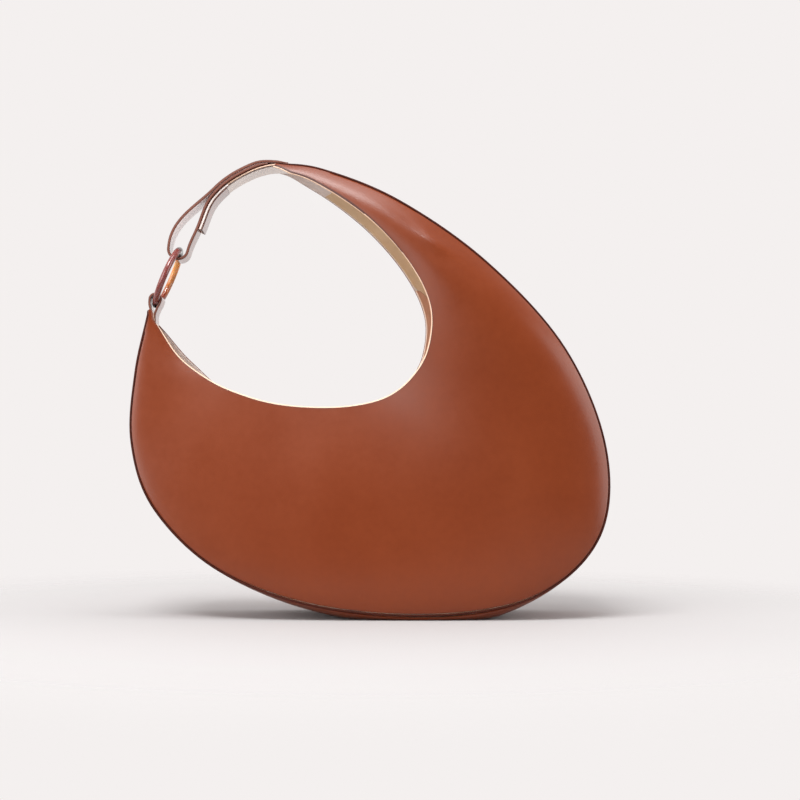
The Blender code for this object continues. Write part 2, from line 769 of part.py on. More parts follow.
def build():
    clear_scene()
    leather = material("tan_leather", (0.28, 0.06, 0.02), 0.42)
    strap_leather = material("strap_leather", (0.2, 0.045, 0.02), 0.42)
    edge_paint = material("dark_edge_paint", (0.035, 0.012, 0.008), 0.45)
    suede = material("beige_suede", (0.56, 0.4, 0.28), 0.9)
    facing_leather = material("brown_facing", (0.29, 0.13, 0.075), 0.5)
    resin = material("amber_resin", (0.45, 0.1, 0.02), 0.12)
    board = material("base_fibreboard", (0.3, 0.22, 0.15), 0.85)
    brass = material("aged_brass", (0.6, 0.42, 0.2), 0.35, 1.0)

    front = panel_rows()
    back = mirrored(front)
    socket, stud = snap_profiles()
    add_panel("front_panel", front, leather)
    add_panel("back_panel", back, leather)
    add_band(leather)
    add_welt("front_welt", -1, edge_paint)
    add_welt("back_welt", 1, edge_paint)
    add_lining("front_lining", front, suede)
    add_lining("back_lining", back, suede)
    add_band_lining(suede)
    add_facing("front_facing", front, facing_leather)
    add_facing("back_facing", back, facing_leather)
    add_pocket("slip_pocket", back, suede)
    add_board(board)
    add_snap("front_magnet", front, socket, brass)
    add_snap("back_magnet", back, stud, brass)
    add_strap_loop(strap_leather)
    add_tail_patch(leather)
    add_ring_tab(strap_leather)
    add_ring(resin)


build()
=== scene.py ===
import math

import bmesh
import bpy
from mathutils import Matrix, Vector, noise


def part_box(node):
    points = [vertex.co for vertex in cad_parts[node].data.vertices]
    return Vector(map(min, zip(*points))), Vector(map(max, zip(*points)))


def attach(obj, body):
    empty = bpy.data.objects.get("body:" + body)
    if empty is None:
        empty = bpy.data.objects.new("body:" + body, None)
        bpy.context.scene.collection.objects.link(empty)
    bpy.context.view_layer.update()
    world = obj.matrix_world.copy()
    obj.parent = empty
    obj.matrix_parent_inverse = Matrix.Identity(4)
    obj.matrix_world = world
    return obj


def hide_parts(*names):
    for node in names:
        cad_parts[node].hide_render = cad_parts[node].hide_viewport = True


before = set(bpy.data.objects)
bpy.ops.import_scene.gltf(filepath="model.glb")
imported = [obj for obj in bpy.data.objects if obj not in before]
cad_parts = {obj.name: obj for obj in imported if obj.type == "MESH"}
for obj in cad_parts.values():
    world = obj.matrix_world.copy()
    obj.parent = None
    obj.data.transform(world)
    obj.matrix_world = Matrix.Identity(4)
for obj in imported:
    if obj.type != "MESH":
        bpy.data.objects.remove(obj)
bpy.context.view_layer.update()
print("stage: frame loaded")

# Everything is in metres: X to the bag's right, Y to its back, Z up.
mm = 0.001

# The bag's form. A place counts stations from the left tip along the base, up the right side to the
# arch's top.
bagForm = {
    "width": 347 * mm,
    "height": 336 * mm,
    "bandWidth": 87 * mm,
    "seamLift": 4.4 * mm,
    "fullSag": 8.5 * mm,
    "leather": 1.6 * mm,
    "facing": 1.2 * mm,
    "lining": 0.8 * mm,
    "gap": 0.3 * mm,
    "weltRadius": 1.0 * mm,
    "panelTuck": 0.25 * mm,  # from the seam line to the end of a narrow panel row
    "bandTuck": 0.12 * mm,  # the band's edges stop this far inside the panels' leather
    "domeFalls": (0.45, 0.7, 1.1),  # left tip, body, arch: the lower, the nearer the seam the dome turns over
    "domeTurns": ((1.5, 2.5), (10, 1.5)),  # place and length of the change from one fall to the next
    "crownPower": 6,
    "groundEase": 0.9 * mm,  # how softly the band flattens on the ground
    "rowsAStation": 12,
    "seamLine": [
        (-0.470, 0.663), (-0.494, 0.530), (-0.499, 0.376), (-0.449, 0.230), (-0.311, 0.095),
        (-0.101, 0.017), (0.157, 0.000), (0.358, 0.045), (0.482, 0.173), (0.494, 0.363),
        (0.409, 0.581), (0.247, 0.770), (0.064, 0.908), (-0.095, 0.982), (-0.197, 1.000),
    ],
    "mouthLine": [
        (-0.458, 0.650), (-0.408, 0.570), (-0.349, 0.520), (-0.289, 0.488), (-0.208, 0.462),
        (-0.121, 0.452), (-0.035, 0.455), (0.038, 0.474), (0.090, 0.515), (0.125, 0.579),
        (0.130, 0.673), (0.084, 0.773), (-0.006, 0.879), (-0.120, 0.962), (-0.200, 0.988),
    ],
    "seamDepths": [.34, .53, .71, .85, .94, .99, 1, 1, 1, .99, .97, .91, .76, .49, .37],
    "mouthDepths": [.32, .43, .52, .58, .62, .65, .69, .78, .90, 1.01, 1.06, 1.00, .86, .57, .43],
    "domes": [.07, .06, .035, .035, .04, .05, .055, .06, .065, .07, .095, .115, .10, .06, .05],
    "sags": [0, .1, .15, .2, .25, .73, 1.4, .45, .25, .2, .2, .15, .1, 0, 0],
    "tail": [(0.350, 0.142), (0.700, 0.145)],
    "tailDepth": 0.35,
    "tailReach": (15.3 * mm, 14.7 * mm),
}

ringForm = {
    "radius": 22.35 * mm,
    "barRadius": 2.4 * mm,
    "lean": math.radians(23.6),
    "turns": 128,
    "sides": 28,
}

tabForm = {
    "ply": 1.6 * mm,
    "tail": 12 * mm,
    "lean": 1.9 * mm,
    "rise": 8.2 * mm,
    "play": 0.4 * mm,
    "sideGap": 0.6 * mm,
    "innerWidth": 6.8 * mm,
    "curl": math.radians(-48),
    "arcSteps": 6,
    "pathSteps": 8,
    "columns": 8,
}


# Curves

def curveValue(values, place):  # a smooth curve through the values, read at a fractional place
    last = len(values) - 1
    start = max(0, min(int(place), last - 1))
    t = place - start
    p1, p2 = values[start], values[start + 1]
    p0 = values[start - 1] if start > 0 else p1 * 2 - p2
    p3 = values[start + 2] if start + 2 <= last else p2 * 2 - p1
    square = (p0 * 2 - p1 * 5 + p2 * 4 - p3) * t * t
    cube = (p1 * 3 - p0 - p2 * 3 + p3) * t * t * t
    return (p1 * 2 + (p2 - p0) * t + square + cube) * 0.5


def straightValue(values, place):
    start = max(0, min(int(place), len(values) - 2))
    t = place - start
    return values[start] * (1 - t) + values[start + 1] * t


def ramp(value, start, length):
    t = min(max((value - start) / length, 0), 1)
    return t * t * (3 - 2 * t)


def spread(first, last, count):
    return [first + (last - first) * step / count for step in range(count + 1)]


def rowsBetween(start, end):
    return spread(start, end, round((end - start) * bagForm["rowsAStation"]))


def leftOf(points):  # unit normals of a flat path, to the left of its direction
    found = []
    for index in range(len(points)):
        along = points[min(index + 1, len(points) - 1)] - points[max(index - 1, 0)]
        along.normalize()
        found.append(Vector((-along.y, along.x)))
    return found


def onCircle(angle):
    return Vector((math.cos(angle), math.sin(angle)))


def inSpace(point, y):
    return Vector((point.x, y, point.y))


# Lines of the bag, and where the ring sits

def outline(shares):
    lift = bagForm["seamLift"]
    rise = bagForm["height"] - lift
    return [Vector((x * bagForm["width"], lift + z * rise)) for x, z in shares]


seamLine = outline(bagForm["seamLine"])
mouthLine = outline(bagForm["mouthLine"])
lastStation = len(seamLine) - 1
halfBand = bagForm["bandWidth"] / 2

tabOrigin = seamLine[0] + Vector((bagForm["leather"], 0))
tabLeft = bagForm["gap"] + tabForm["ply"] / 2
tabLeftUp = tabLeft - tabForm["lean"]
tabRight = tabLeft + tabForm["ply"] + bagForm["gap"]
barInTab = Vector((tabLeftUp + tabForm["ply"] / 2 + bagForm["gap"] + ringForm["barRadius"], tabForm["rise"]))
ringWay = Vector((math.sin(ringForm["lean"]), math.cos(ringForm["lean"])))
ringCentre = tabOrigin + barInTab + ringWay * ringForm["radius"]
ringTop = ringCentre + ringWay * ringForm["radius"]

tailEnd = ringTop + Vector(bagForm["tailReach"])
tailChord = tailEnd - seamLine[-1]
tailSide = Vector((tailChord.y, -tailChord.x))
tailLine = [seamLine[-1] + tailChord * along + tailSide * off for along, off in bagForm["tail"]] + [tailEnd]
bandLine = seamLine + tailLine
bandDepths = bagForm["seamDepths"] + [bagForm["tailDepth"]] * len(tailLine)
bandSags = bagForm["sags"] + [0] * len(tailLine)
bandEnd = len(bandLine) - 1

bandSetback = bagForm["leather"] + bagForm["bandTuck"]
liningFace = bagForm["leather"] + bagForm["gap"]
liningBack = liningFace + bagForm["lining"]
facingBack = liningFace + bagForm["facing"]
liningSetback = liningBack + bagForm["gap"]


def seamDepth(place):
    return curveValue(bagForm["seamDepths"], place) * halfBand


def mouthDepth(place):
    return curveValue(bagForm["mouthDepths"], place) * halfBand


def bandDepth(place):
    return seamDepth(place) if place <= lastStation else straightValue(bandDepths, place) * halfBand


def crescentWidth(place):
    return (curveValue(seamLine, place) - curveValue(mouthLine, place)).length


# Surfaces: a panel point has a place and a share across from the mouth edge to the seam, a band point
# a share from the front edge at -1 to the back edge at 1

swellForm = {  # soft swell where the front panel turns over into the arch
    "place": 11.28, "across": 0.56, "length": 0.2, "width": 0.15, "height": 1.8 * mm,
}

slackForm = {  # slow unevenness of soft leather, which fades out towards both edges
    "size": 0.085, "depth": 0.45 * mm, "flatten": 0.5, "fade": 4,
}

placeStep, acrossStep, shareStep = 0.03, 0.006, 0.01  # steps to the points a normal is worked out from


def slackAt(place, across, point):
    hold = min(max(min(across, 1 - across) * slackForm["fade"], 0), 1)
    wave = noise.noise(Vector((point.x, point.y * slackForm["flatten"], point.z)) / slackForm["size"])
    along = (place - swellForm["place"]) / swellForm["length"]
    aside = (across - swellForm["across"]) / swellForm["width"]
    return hold * (wave * slackForm["depth"] + swellForm["height"] * math.exp(-along ** 2 - aside ** 2))


def domeAt(place, across):  # 0 at both edges, 1 at the fullest
    tip, body, arch = bagForm["domeFalls"]
    first, second = bagForm["domeTurns"]
    fall = tip + (body - tip) * ramp(place, *first) + (arch - body) * ramp(place, *second)
    peak = fall ** fall / (1 + fall) ** (1 + fall)
    return across * max(1 - across, 0) ** fall / peak


def panelPoint(place, across, side):
    flat = curveValue(mouthLine, place).lerp(curveValue(seamLine, place), across)
    dome = curveValue(bagForm["domes"], place) * crescentWidth(place) * domeAt(place, across)
    depth = mouthDepth(place) * (1 - across) + seamDepth(place) * across + dome
    depth += slackAt(place, across, inSpace(flat, side * depth))
    return inSpace(flat, side * depth)


def panelNormal(place, across, side):
    top = panelPoint(min(place + placeStep, lastStation), across, side)
    low = panelPoint(max(place - placeStep, 0), across, side)
    outer = panelPoint(place, min(across + acrossStep, 1), side)
    inner = panelPoint(place, across - acrossStep, side)
    return (outer - inner).cross(top - low).normalized() * -side


def underPanel(place, across, depth, side):
    return panelPoint(place, across, side) - panelNormal(place, across, side) * depth


def bandPoint(place, share):
    line = curveValue(bandLine, place)
    ahead = curveValue(bandLine, min(place + placeStep, bandEnd))
    along = ahead - curveValue(bandLine, max(place - placeStep, 0))
    outward = Vector((along.y, -along.x)).normalized()
    sag = curveValue(bandSags, place) * bagForm["fullSag"]
    flat = line + outward * sag * (1 - abs(share) ** bagForm["crownPower"])
    height = (flat.y + math.sqrt(flat.y ** 2 + bagForm["groundEase"] ** 2)) / 2
    return Vector((flat.x, share * bandDepth(place), height))


def bandNormal(place, share):
    along = bandPoint(min(place + placeStep, bandEnd), share) - bandPoint(max(place - placeStep, 0), share)
    sideways = bandPoint(place, min(share + shareStep, 1)) - bandPoint(place, max(share - shareStep, -1))
    return sideways.cross(along).normalized()


def underBand(place, share, depth):
    return bandPoint(place, share) - bandNormal(place, share) * depth


def panelShares(place):  # shares across at which the facing, the lining and the panel end
    width = crescentWidth(place)
    edge = 1 - bagForm["panelTuck"] / width
    lined = max(1 - liningSetback / width, edge / 2)
    return min(facingForm["depth"] / width, lined / 2), lined, edge


# Meshes

def addObject(name, mesh, materials, sharp=40):
    bmesh.ops.recalc_face_normals(mesh, faces=mesh.faces)
    data = bpy.data.meshes.new(name)
    mesh.to_mesh(data)
    mesh.free()
    for material in materials:
        data.materials.append(material)
    data.shade_smooth()
    data.set_sharp_from_angle(angle=math.radians(sharp))
    thing = bpy.data.objects.new(name, data)
    bpy.context.scene.collection.objects.link(thing)
    return thing


def rideBag(thing, slot, *nodes):
    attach(thing, "bag")
    if nodes:
        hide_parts(*nodes)


def roundLoop(mesh, middle, first, second, radius, count):  # corners round a middle, in the plane of two ways
    loop = []
    for turn in range(count):
        angle = 2 * math.pi * turn / count
        loop.append(mesh.verts.new(middle + (first * math.cos(angle) + second * math.sin(angle)) * radius))
    return loop


def joinLoops(mesh, loops, closed=False):
    # Faces from each loop to the next, whose corners may meet in one point. A closed row of loops joins its
    # last to its first, any other gets an end cap where it doesn't end in a point.
    pairs = list(zip(loops, loops[1:]))
    if closed:
        pairs.append((loops[-1], loops[0]))
    for low, high in pairs:
        count = max(len(low), len(high))
        for turn in range(count):
            after = (turn + 1) % count
            corners = [low[turn % len(low)], low[after % len(low)]]
            corners += [high[after % len(high)], high[turn % len(high)]]
            mesh.faces.new(list(dict.fromkeys(corners)))
    if not closed:
        for end in (loops[0][::-1], loops[-1]):
            if len(end) > 1:
                mesh.faces.new(end)


def sheetRows(places, columnsAt, pointAt, depths):  # the points of a sheet's two faces, row by row
    return [[[pointAt(place, share, depth) for share in columnsAt(place)] for place in places]
            for depth in depths]


def rimRows(places, columnsAt, widthAt):  # how far each of those points stands from the nearer long edge
    rows = []
    for place in places:
        columns, width = columnsAt(place), widthAt(place)
        rows.append([min(share - columns[0], columns[-1] - share) * width for share in columns])
    return rows


def outwardAt(grid, i, j):
    rows, columns = len(grid), len(grid[0])
    way = Vector((0, 0, 0))
    if i == 0:
        way += (grid[0][j] - grid[1][j]).normalized()
    if i == rows - 1:
        way += (grid[i][j] - grid[i - 1][j]).normalized()
    if j == 0:
        way += (grid[i][0] - grid[i][1]).normalized()
    if j == columns - 1:
        way += (grid[i][j] - grid[i][j - 1]).normalized()
    return way.normalized()


def sheetSolid(name, outer, inner, materials, bulges, finishes, rings=6, rims=None):
    # A closed sheet between two grids of points. Its rim is rounded like a cut edge: bulges gives how far
    # it stands out at the low side, the high side and the ends, and finishes the material of each ring
    # there, from the outer face to the inner one. Either may be a function of the share along the rows.
    mesh = bmesh.new()
    rim = mesh.verts.layers.float.new("rim")
    rows, columns = len(outer), len(outer[0])

    def sideOf(i, j):
        return 0 if j == 0 else 1 if j == columns - 1 else 2

    def along(value, i):
        return value(i / (rows - 1)) if callable(value) else value

    tops = [[mesh.verts.new(point) for point in row] for row in outer]
    unders = [[mesh.verts.new(point) for point in row] for row in inner]
    for i in range(rows):
        for j in range(columns):
            value = rims[i][j] if rims else 1
            tops[i][j][rim] = value
            unders[i][j][rim] = value
    for i in range(rows - 1):
        for j in range(columns - 1):
            mesh.faces.new((tops[i][j], tops[i + 1][j], tops[i + 1][j + 1], tops[i][j + 1]))
            under = mesh.faces.new((unders[i][j], unders[i][j + 1], unders[i + 1][j + 1], unders[i + 1][j]))
            under.material_index = 1
    border = [(0, j) for j in range(columns)] + [(i, columns - 1) for i in range(1, rows)]
    border += [(rows - 1, j) for j in range(columns - 2, -1, -1)] + [(i, 0) for i in range(rows - 2, 0, -1)]
    loops = [[tops[i][j] for i, j in border]]
    for ring in range(1, rings):
        angle = math.pi * ring / rings
        loop = []
        for i, j in border:
            middle = (outer[i][j] + inner[i][j]) / 2
            half = (outer[i][j] - inner[i][j]) / 2
            stand = outwardAt(outer, i, j) * along(bulges[sideOf(i, j)], i)
            loop.append(mesh.verts.new(middle + half * math.cos(angle) + stand * math.sin(angle)))
        loops.append(loop)
    loops.append([unders[i][j] for i, j in border])
    for ring, (low, high) in enumerate(zip(loops, loops[1:])):
        for index in range(len(border)):
            after = (index + 1) % len(border)
            face = mesh.faces.new((low[index], low[after], high[after], high[index]))
            side = max(sideOf(*border[index]), sideOf(*border[after]))
            face.material_index = along(finishes[side], border[index][0])[ring]
    return addObject(name, mesh, materials)


def plainSheet(name, faces, material, bulge):  # one material all over, with a small round edge
    return sheetSolid(name, *faces, [material, material], [bulge] * 3, [[0] * 4] * 3, 4)


# Node helpers and shared effects

def linear(red, green, blue):
    def channel(value):
        value /= 255
        return value / 12.92 if value <= 0.04045 else ((value + 0.055) / 1.055) ** 2.4
    return (channel(red), channel(green), channel(blue), 1)


def feed(tree, node, values):  # an output is linked to the input, anything else is set on it
    for key, value in values.items():
        if isinstance(value, bpy.types.NodeSocket):
            tree.links.new(value, node.inputs[key])
        else:
            node.inputs[key].default_value = value


def addNode(tree, kind, values=None, **settings):
    node = tree.nodes.new("ShaderNode" + kind)
    for key, value in settings.items():
        setattr(node, key, value)
    feed(tree, node, values or {})
    return node


def calculate(tree, operation, *values):
    return addNode(tree, "Math", dict(enumerate(values)), operation=operation).outputs[0]


def objectPlace(tree):
    return addNode(tree, "TexCoord").outputs["Object"]


def addNoise(tree, place, scale, detail=2.0, roughness=0.5, distortion=0.0, output="Fac"):
    values = {"Vector": place, "Scale": scale, "Detail": detail, "Roughness": roughness}
    return addNode(tree, "TexNoise", values | {"Distortion": distortion}).outputs[output]


def rescale(tree, value, fromLow, fromHigh, toLow, toHigh, kind="LINEAR"):
    values = {"Value": value, "From Min": fromLow, "From Max": fromHigh, "To Min": toLow, "To Max": toHigh}
    return addNode(tree, "MapRange", values, interpolation_type=kind).outputs["Result"]


# Index of the colour sockets on a Mix node, whose float and vector sockets carry the same names
mixFactor, mixA, mixB, mixResult = 0, 6, 7, 2


def mixColours(tree, factor, first, second):
    values = {mixFactor: factor, mixA: first, mixB: second}
    return addNode(tree, "Mix", values, data_type="RGBA").outputs[mixResult]


def newGroup(name, inputs, outputs):
    tree = bpy.data.node_groups.new(name, "ShaderNodeTree")
    for label, start in inputs.items():
        socket = tree.interface.new_socket(label, in_out="INPUT", socket_type="NodeSocketFloat")
        socket.default_value = start
    for label in outputs:
        tree.interface.new_socket(label, in_out="OUTPUT", socket_type="NodeSocketFloat")
    return tree, tree.nodes.new("NodeGroupInput").outputs, tree.nodes.new("NodeGroupOutput")


def makeHideGrain():  # pebbled leather: a height for bump and a slow mottle for tone
    tree, source, result = newGroup("hideGrain", {"Cell Size": 0.9, "Pore Depth": 0.5}, ["Height", "Mottle"])
    place = objectPlace(tree)
    warp = addNoise(tree, place, 260.0, output="Color")
    bend = addNode(tree, "VectorMath", {0: warp, 3: 0.0009}, operation="SCALE").outputs[0]
    moved = addNode(tree, "VectorMath", {0: place, 1: bend}, operation="ADD").outputs[0]
    perMetre = calculate(tree, "DIVIDE", 1000.0, source["Cell Size"])
    cells = addNode(tree, "TexVoronoi", {"Vector": moved, "Scale": perMetre, "Smoothness": 0.6},
                    feature="SMOOTH_F1").outputs["Distance"]
    pores = calculate(tree, "MULTIPLY", addNoise(tree, place, 2600.0, 3.0, 0.6), source["Pore Depth"])
    fine = calculate(tree, "MULTIPLY", addNoise(tree, place, 220.0, 3.0), 0.3)
    mottle = calculate(tree, "MULTIPLY_ADD", addNoise(tree, place, 16.0, 5.0, 0.55), 0.7, fine)
    feed(tree, result, {"Height": calculate(tree, "SUBTRACT", pores, cells), "Mottle": mottle})
    return tree


def makeRimShade():  # 1 at a cut edge, fading to 0 over the reach in millimetres
    tree, source, result = newGroup("rimShade", {"Reach": 3.0}, ["Mask"])
    rim = addNode(tree, "Attribute", attribute_name="rim").outputs["Fac"]
    uneven = calculate(tree, "MULTIPLY_ADD", addNoise(tree, objectPlace(tree), 90.0, 4.0), 0.8, 0.6)
    reach = calculate(tree, "MULTIPLY", source["Reach"], uneven)
    millimetres = calculate(tree, "MULTIPLY", rim, 1000.0)
    feed(tree, result, {"Mask": rescale(tree, millimetres, 0, reach, 1, 0, "SMOOTHSTEP")})
    return tree


def makeFibreNap():  # short brushed fibres: a height, and a patchy tone where the nap lies this way or that
    tree, source, result = newGroup("fibreNap", {"Fibres": 1800.0, "Patch Scale": 28.0}, ["Height", "Nap"])
    place = objectPlace(tree)
    fibres = addNoise(tree, place, source["Fibres"], 6.0, 0.75, 0.6)
    patches = addNoise(tree, place, source["Patch Scale"], 3.0, 0.5, 0.8)
    nap = calculate(tree, "MULTIPLY_ADD", patches, 0.65, calculate(tree, "MULTIPLY", fibres, 0.35))
    feed(tree, result, {"Height": fibres, "Nap": nap})
    return tree


hideGrain = makeHideGrain()
rimShade = makeRimShade()
fibreNap = makeFibreNap()


def newMaterial(name):
    made = bpy.data.materials.new(name)
    made.use_nodes = True
    return made, made.node_tree, made.node_tree.nodes["Principled BSDF"]


def addBump(tree, shader, height, strength, distance):
    bump = addNode(tree, "Bump", {"Strength": strength, "Distance": distance, "Height": height})
    feed(tree, shader, {"Normal": bump.outputs["Normal"]})


def makeLeather(name, look):
    made, tree, shader = newMaterial(name)
    sizes = {"Cell Size": look["cell"], "Pore Depth": look["pores"]}
    grain = addNode(tree, "Group", sizes, node_tree=hideGrain).outputs
    mask = addNode(tree, "Group", {"Reach": look["edgeReach"]}, node_tree=rimShade).outputs["Mask"]
    hide = mixColours(tree, rescale(tree, grain["Mottle"], 0.32, 0.68, 0, 1), look["dark"], look["light"])
    edgeShare = rescale(tree, mask, 0, 1, 0, look["edgeDark"])
    smooth, rough = look["roughness"] - 0.05, look["roughness"] + 0.05
    feed(tree, shader, {
        "Base Color": mixColours(tree, edgeShare, hide, look["edge"]),
        "Roughness": rescale(tree, grain["Mottle"], 0.3, 0.7, smooth, rough),
        "Specular IOR Level": look["specular"],
        "Coat Weight": look["coat"],
        "Coat Roughness": look["coatRoughness"],
        "Coat IOR": 1.4,
    })
    addBump(tree, shader, grain["Height"], look["bump"], 0.25 * mm)
    return made


bodyLeather = makeLeather("bodyLeather", {
    "dark": linear(120, 47, 8), "light": linear(129, 53, 11), "edge": linear(112, 44, 20),
    "edgeReach": 2.5, "edgeDark": 0.35, "cell": 0.75, "pores": 0.6, "bump": 0.08,
    "roughness": 0.32, "specular": 0.5, "coat": 0.0, "coatRoughness": 0.3,
})

strapLeather = makeLeather("strapLeather", {
    "dark": linear(124, 52, 24), "light": linear(138, 60, 30), "edge": linear(92, 40, 24),
    "edgeReach": 2.0, "edgeDark": 0.4, "cell": 0.7, "pores": 0.6, "bump": 0.02,
    "roughness": 0.4, "specular": 0.4, "coat": 1.0, "coatRoughness": 0.04,
})

facingLeather = makeLeather("facingLeather", {
    "dark": linear(208, 152, 124), "light": linear(222, 168, 140), "edge": linear(140, 90, 68),
    "edgeReach": 1.5, "edgeDark": 0.3, "cell": 0.65, "pores": 0.5, "bump": 0.12,
    "roughness": 0.5, "specular": 0.4, "coat": 0.0, "coatRoughness": 0.3,
})

strapLining = makeLeather("strapLining", {
    "dark": linear(228, 210, 208), "light": linear(240, 225, 223), "edge": linear(206, 182, 176),
    "edgeReach": 1.0, "edgeDark": 0.3, "cell": 0.7, "pores": 0.5, "bump": 0.02,
    "roughness": 0.4, "specular": 0.5, "coat": 1.0, "coatRoughness": 0.04,
})


def makeNapped(name, look):  # paint, thread, paper, suede or brass: two tones that follow a brushed nap
    made, tree, shader = newMaterial(name)
    sizes = {"Fibres": look["fibres"], "Patch Scale": look["patches"]}
    nap = addNode(tree, "Group", sizes, node_tree=fibreNap).outputs
    tone = rescale(tree, nap["Nap"], *look.get("tones", (0.35, 0.65)), 0, 1)
    feed(tree, shader, {"Base Color": mixColours(tree, tone, look["dark"], look["light"])})
    if "rough" in look:
        feed(tree, shader, {"Roughness": rescale(tree, nap["Nap"], 0.3, 0.7, *look["rough"])})
    feed(tree, shader, look.get("plain", {}))
    addBump(tree, shader, nap["Height"], look["bump"], look.get("bumpDepth", 0.1 * mm))
    return made


darkEdge = makeNapped("darkEdge", {
    "dark": linear(70, 30, 20), "light": linear(84, 38, 26),
    "fibres": 900.0, "patches": 60.0, "rough": (0.44, 0.58), "bump": 0.05,
})

seamPaint = makeNapped("seamPaint", {
    "dark": linear(60, 22, 13), "light": linear(76, 31, 20), "plain": {"Specular IOR Level": 0.15},
    "fibres": 900.0, "patches": 60.0, "rough": (0.54, 0.68), "bump": 0.08,
})

strapEdge = makeNapped("strapEdge", {
    "dark": linear(120, 70, 54), "light": linear(134, 82, 66),
    "fibres": 1300.0, "patches": 70.0, "rough": (0.39, 0.53), "bump": 0.04,
})

strapOutline = makeNapped("strapOutline", {
    "dark": linear(88, 44, 32), "light": linear(104, 54, 40),
    "fibres": 900.0, "patches": 60.0, "rough": (0.39, 0.53), "bump": 0.04,
})

paleEdge = makeNapped("paleEdge", {
    "dark": linear(240, 202, 174), "light": linear(248, 214, 188),
    "fibres": 1600.0, "patches": 90.0, "rough": (0.54, 0.68), "bump": 0.05,
})

paleThread = makeNapped("paleThread", {
    "dark": linear(176, 140, 112), "light": linear(200, 166, 138),
    "fibres": 3000.0, "patches": 300.0, "rough": (0.54, 0.68), "bump": 0.3,
})

boardPaper = makeNapped("boardPaper", {
    "dark": linear(128, 110, 88), "light": linear(152, 134, 110),
    "fibres": 700.0, "patches": 140.0, "rough": (0.79, 0.93), "bump": 0.3,
})

brass = makeNapped("agedBrass", {
    "dark": linear(160, 128, 78), "light": linear(198, 166, 110), "plain": {"Metallic": 1.0},
    "fibres": 1200.0, "patches": 180.0, "rough": (0.28, 0.46), "bump": 0.1, "bumpDepth": 0.05 * mm,
})


def suedeLook(dark, light, sheen, coat, bump):
    return {
        "dark": dark, "light": light, "tones": (0.36, 0.64),
        "fibres": 1700.0, "patches": 26.0, "bump": bump, "bumpDepth": 0.3 * mm,
        "plain": {
            "Roughness": 0.92, "Specular IOR Level": 0.2, "Sheen Weight": sheen, "Sheen Roughness": 0.3,
            "Sheen Tint": linear(255, 238, 222), "Coat Weight": coat, "Coat Roughness": 0.12,
        },
    }


suede = makeNapped("beigeSuede", suedeLook(linear(224, 194, 158), linear(238, 212, 178), 0.25, 0.0, 0.35))
paleSuede = makeNapped("paleSuede", suedeLook(linear(244, 230, 224), linear(250, 240, 235), 0.6, 1.0, 0.03))

resinLook = {
    "amber": linear(242, 172, 98),
    "honey": linear(214, 124, 56),
    "redBrown": linear(126, 48, 26),
    "plum": linear(130, 60, 55),
    # near-black: the resin's dark streaks, and painted shade where the ring passes through the strap and the
    # tab
    "shadeAndStreaks": linear(30, 8, 9),
    "rise": (14 * mm, 12 * mm),  # how far the change from red-brown to amber keeps from the ring's foot and top; this rise is partly the resin's tone, partly painted light from above
    "front": (-4 * mm, 6 * mm),  # where the plum of the front gives way to it
    # depth from the ring's middle plane over which the painted shade fades out
    "shadeFade": (11.5 * mm, 17 * mm),
    # how far the clouds move the painted shade's edge
    "shadeDrift": 7 * mm,
}


def makeResin():  # tortoise resin with clouds and streaks: plum at the front, amber at the back turning red-brown towards its foot (partly the resin's tone, partly painted light from above), and painted shade where the ring passes through the strap and the tab
    look, radius = resinLook, ringForm["radius"]
    made, tree, shader = newMaterial("tortoiseResin")
    place = objectPlace(tree)
    split = addNode(tree, "SeparateXYZ", {0: place}).outputs
    clouds = addNoise(tree, place, 95.0, 3.0, 0.5, 1.1)
    streaks = addNoise(tree, place, 340.0, 4.0, 0.5, 2.0)
    low, high = ringCentre.y - radius + look["rise"][0], ringCentre.y + radius - look["rise"][1]
    # painted light: the back is amber towards its top and red-brown towards its foot, partly the resin's own
    # tone
    amber = mixColours(tree, rescale(tree, split["Z"], low, high, 0, 1), look["redBrown"], look["amber"])
    honeyed = mixColours(tree, rescale(tree, clouds, 0.45, 0.65, 0, 0.5), amber, look["honey"])
    body = mixColours(tree, rescale(tree, split["Y"], *look["front"], 0, 1), look["plum"], honeyed)
    # painted shade: near-black where the ring passes through the strap and the tab, its edge moved by the
    # clouds
    reach = calculate(tree, "ABSOLUTE", split["Y"])
    shadeDrift = calculate(tree, "MULTIPLY_ADD", clouds, look["shadeDrift"], reach)
    shadedBody = mixColours(tree, rescale(tree, shadeDrift, *look["shadeFade"], 1, 0), body, look["shadeAndStreaks"])
    feed(tree, shader, {
        "Base Color": mixColours(tree, rescale(tree, streaks, 0.55, 0.75, 0, 0.3), shadedBody, look["shadeAndStreaks"]),
        "Roughness": 0.16,
        "IOR": 1.54,
        "Subsurface Weight": 0.35,
        "Subsurface Radius": (0.004, 0.0016, 0.0006),
        "Subsurface Scale": 1.0,
        "Coat Weight": 0.6,
        "Coat Roughness": 0.05,
    })
    return made


resin = makeResin()
print("stage: materials ready")


# Panels, seams and band

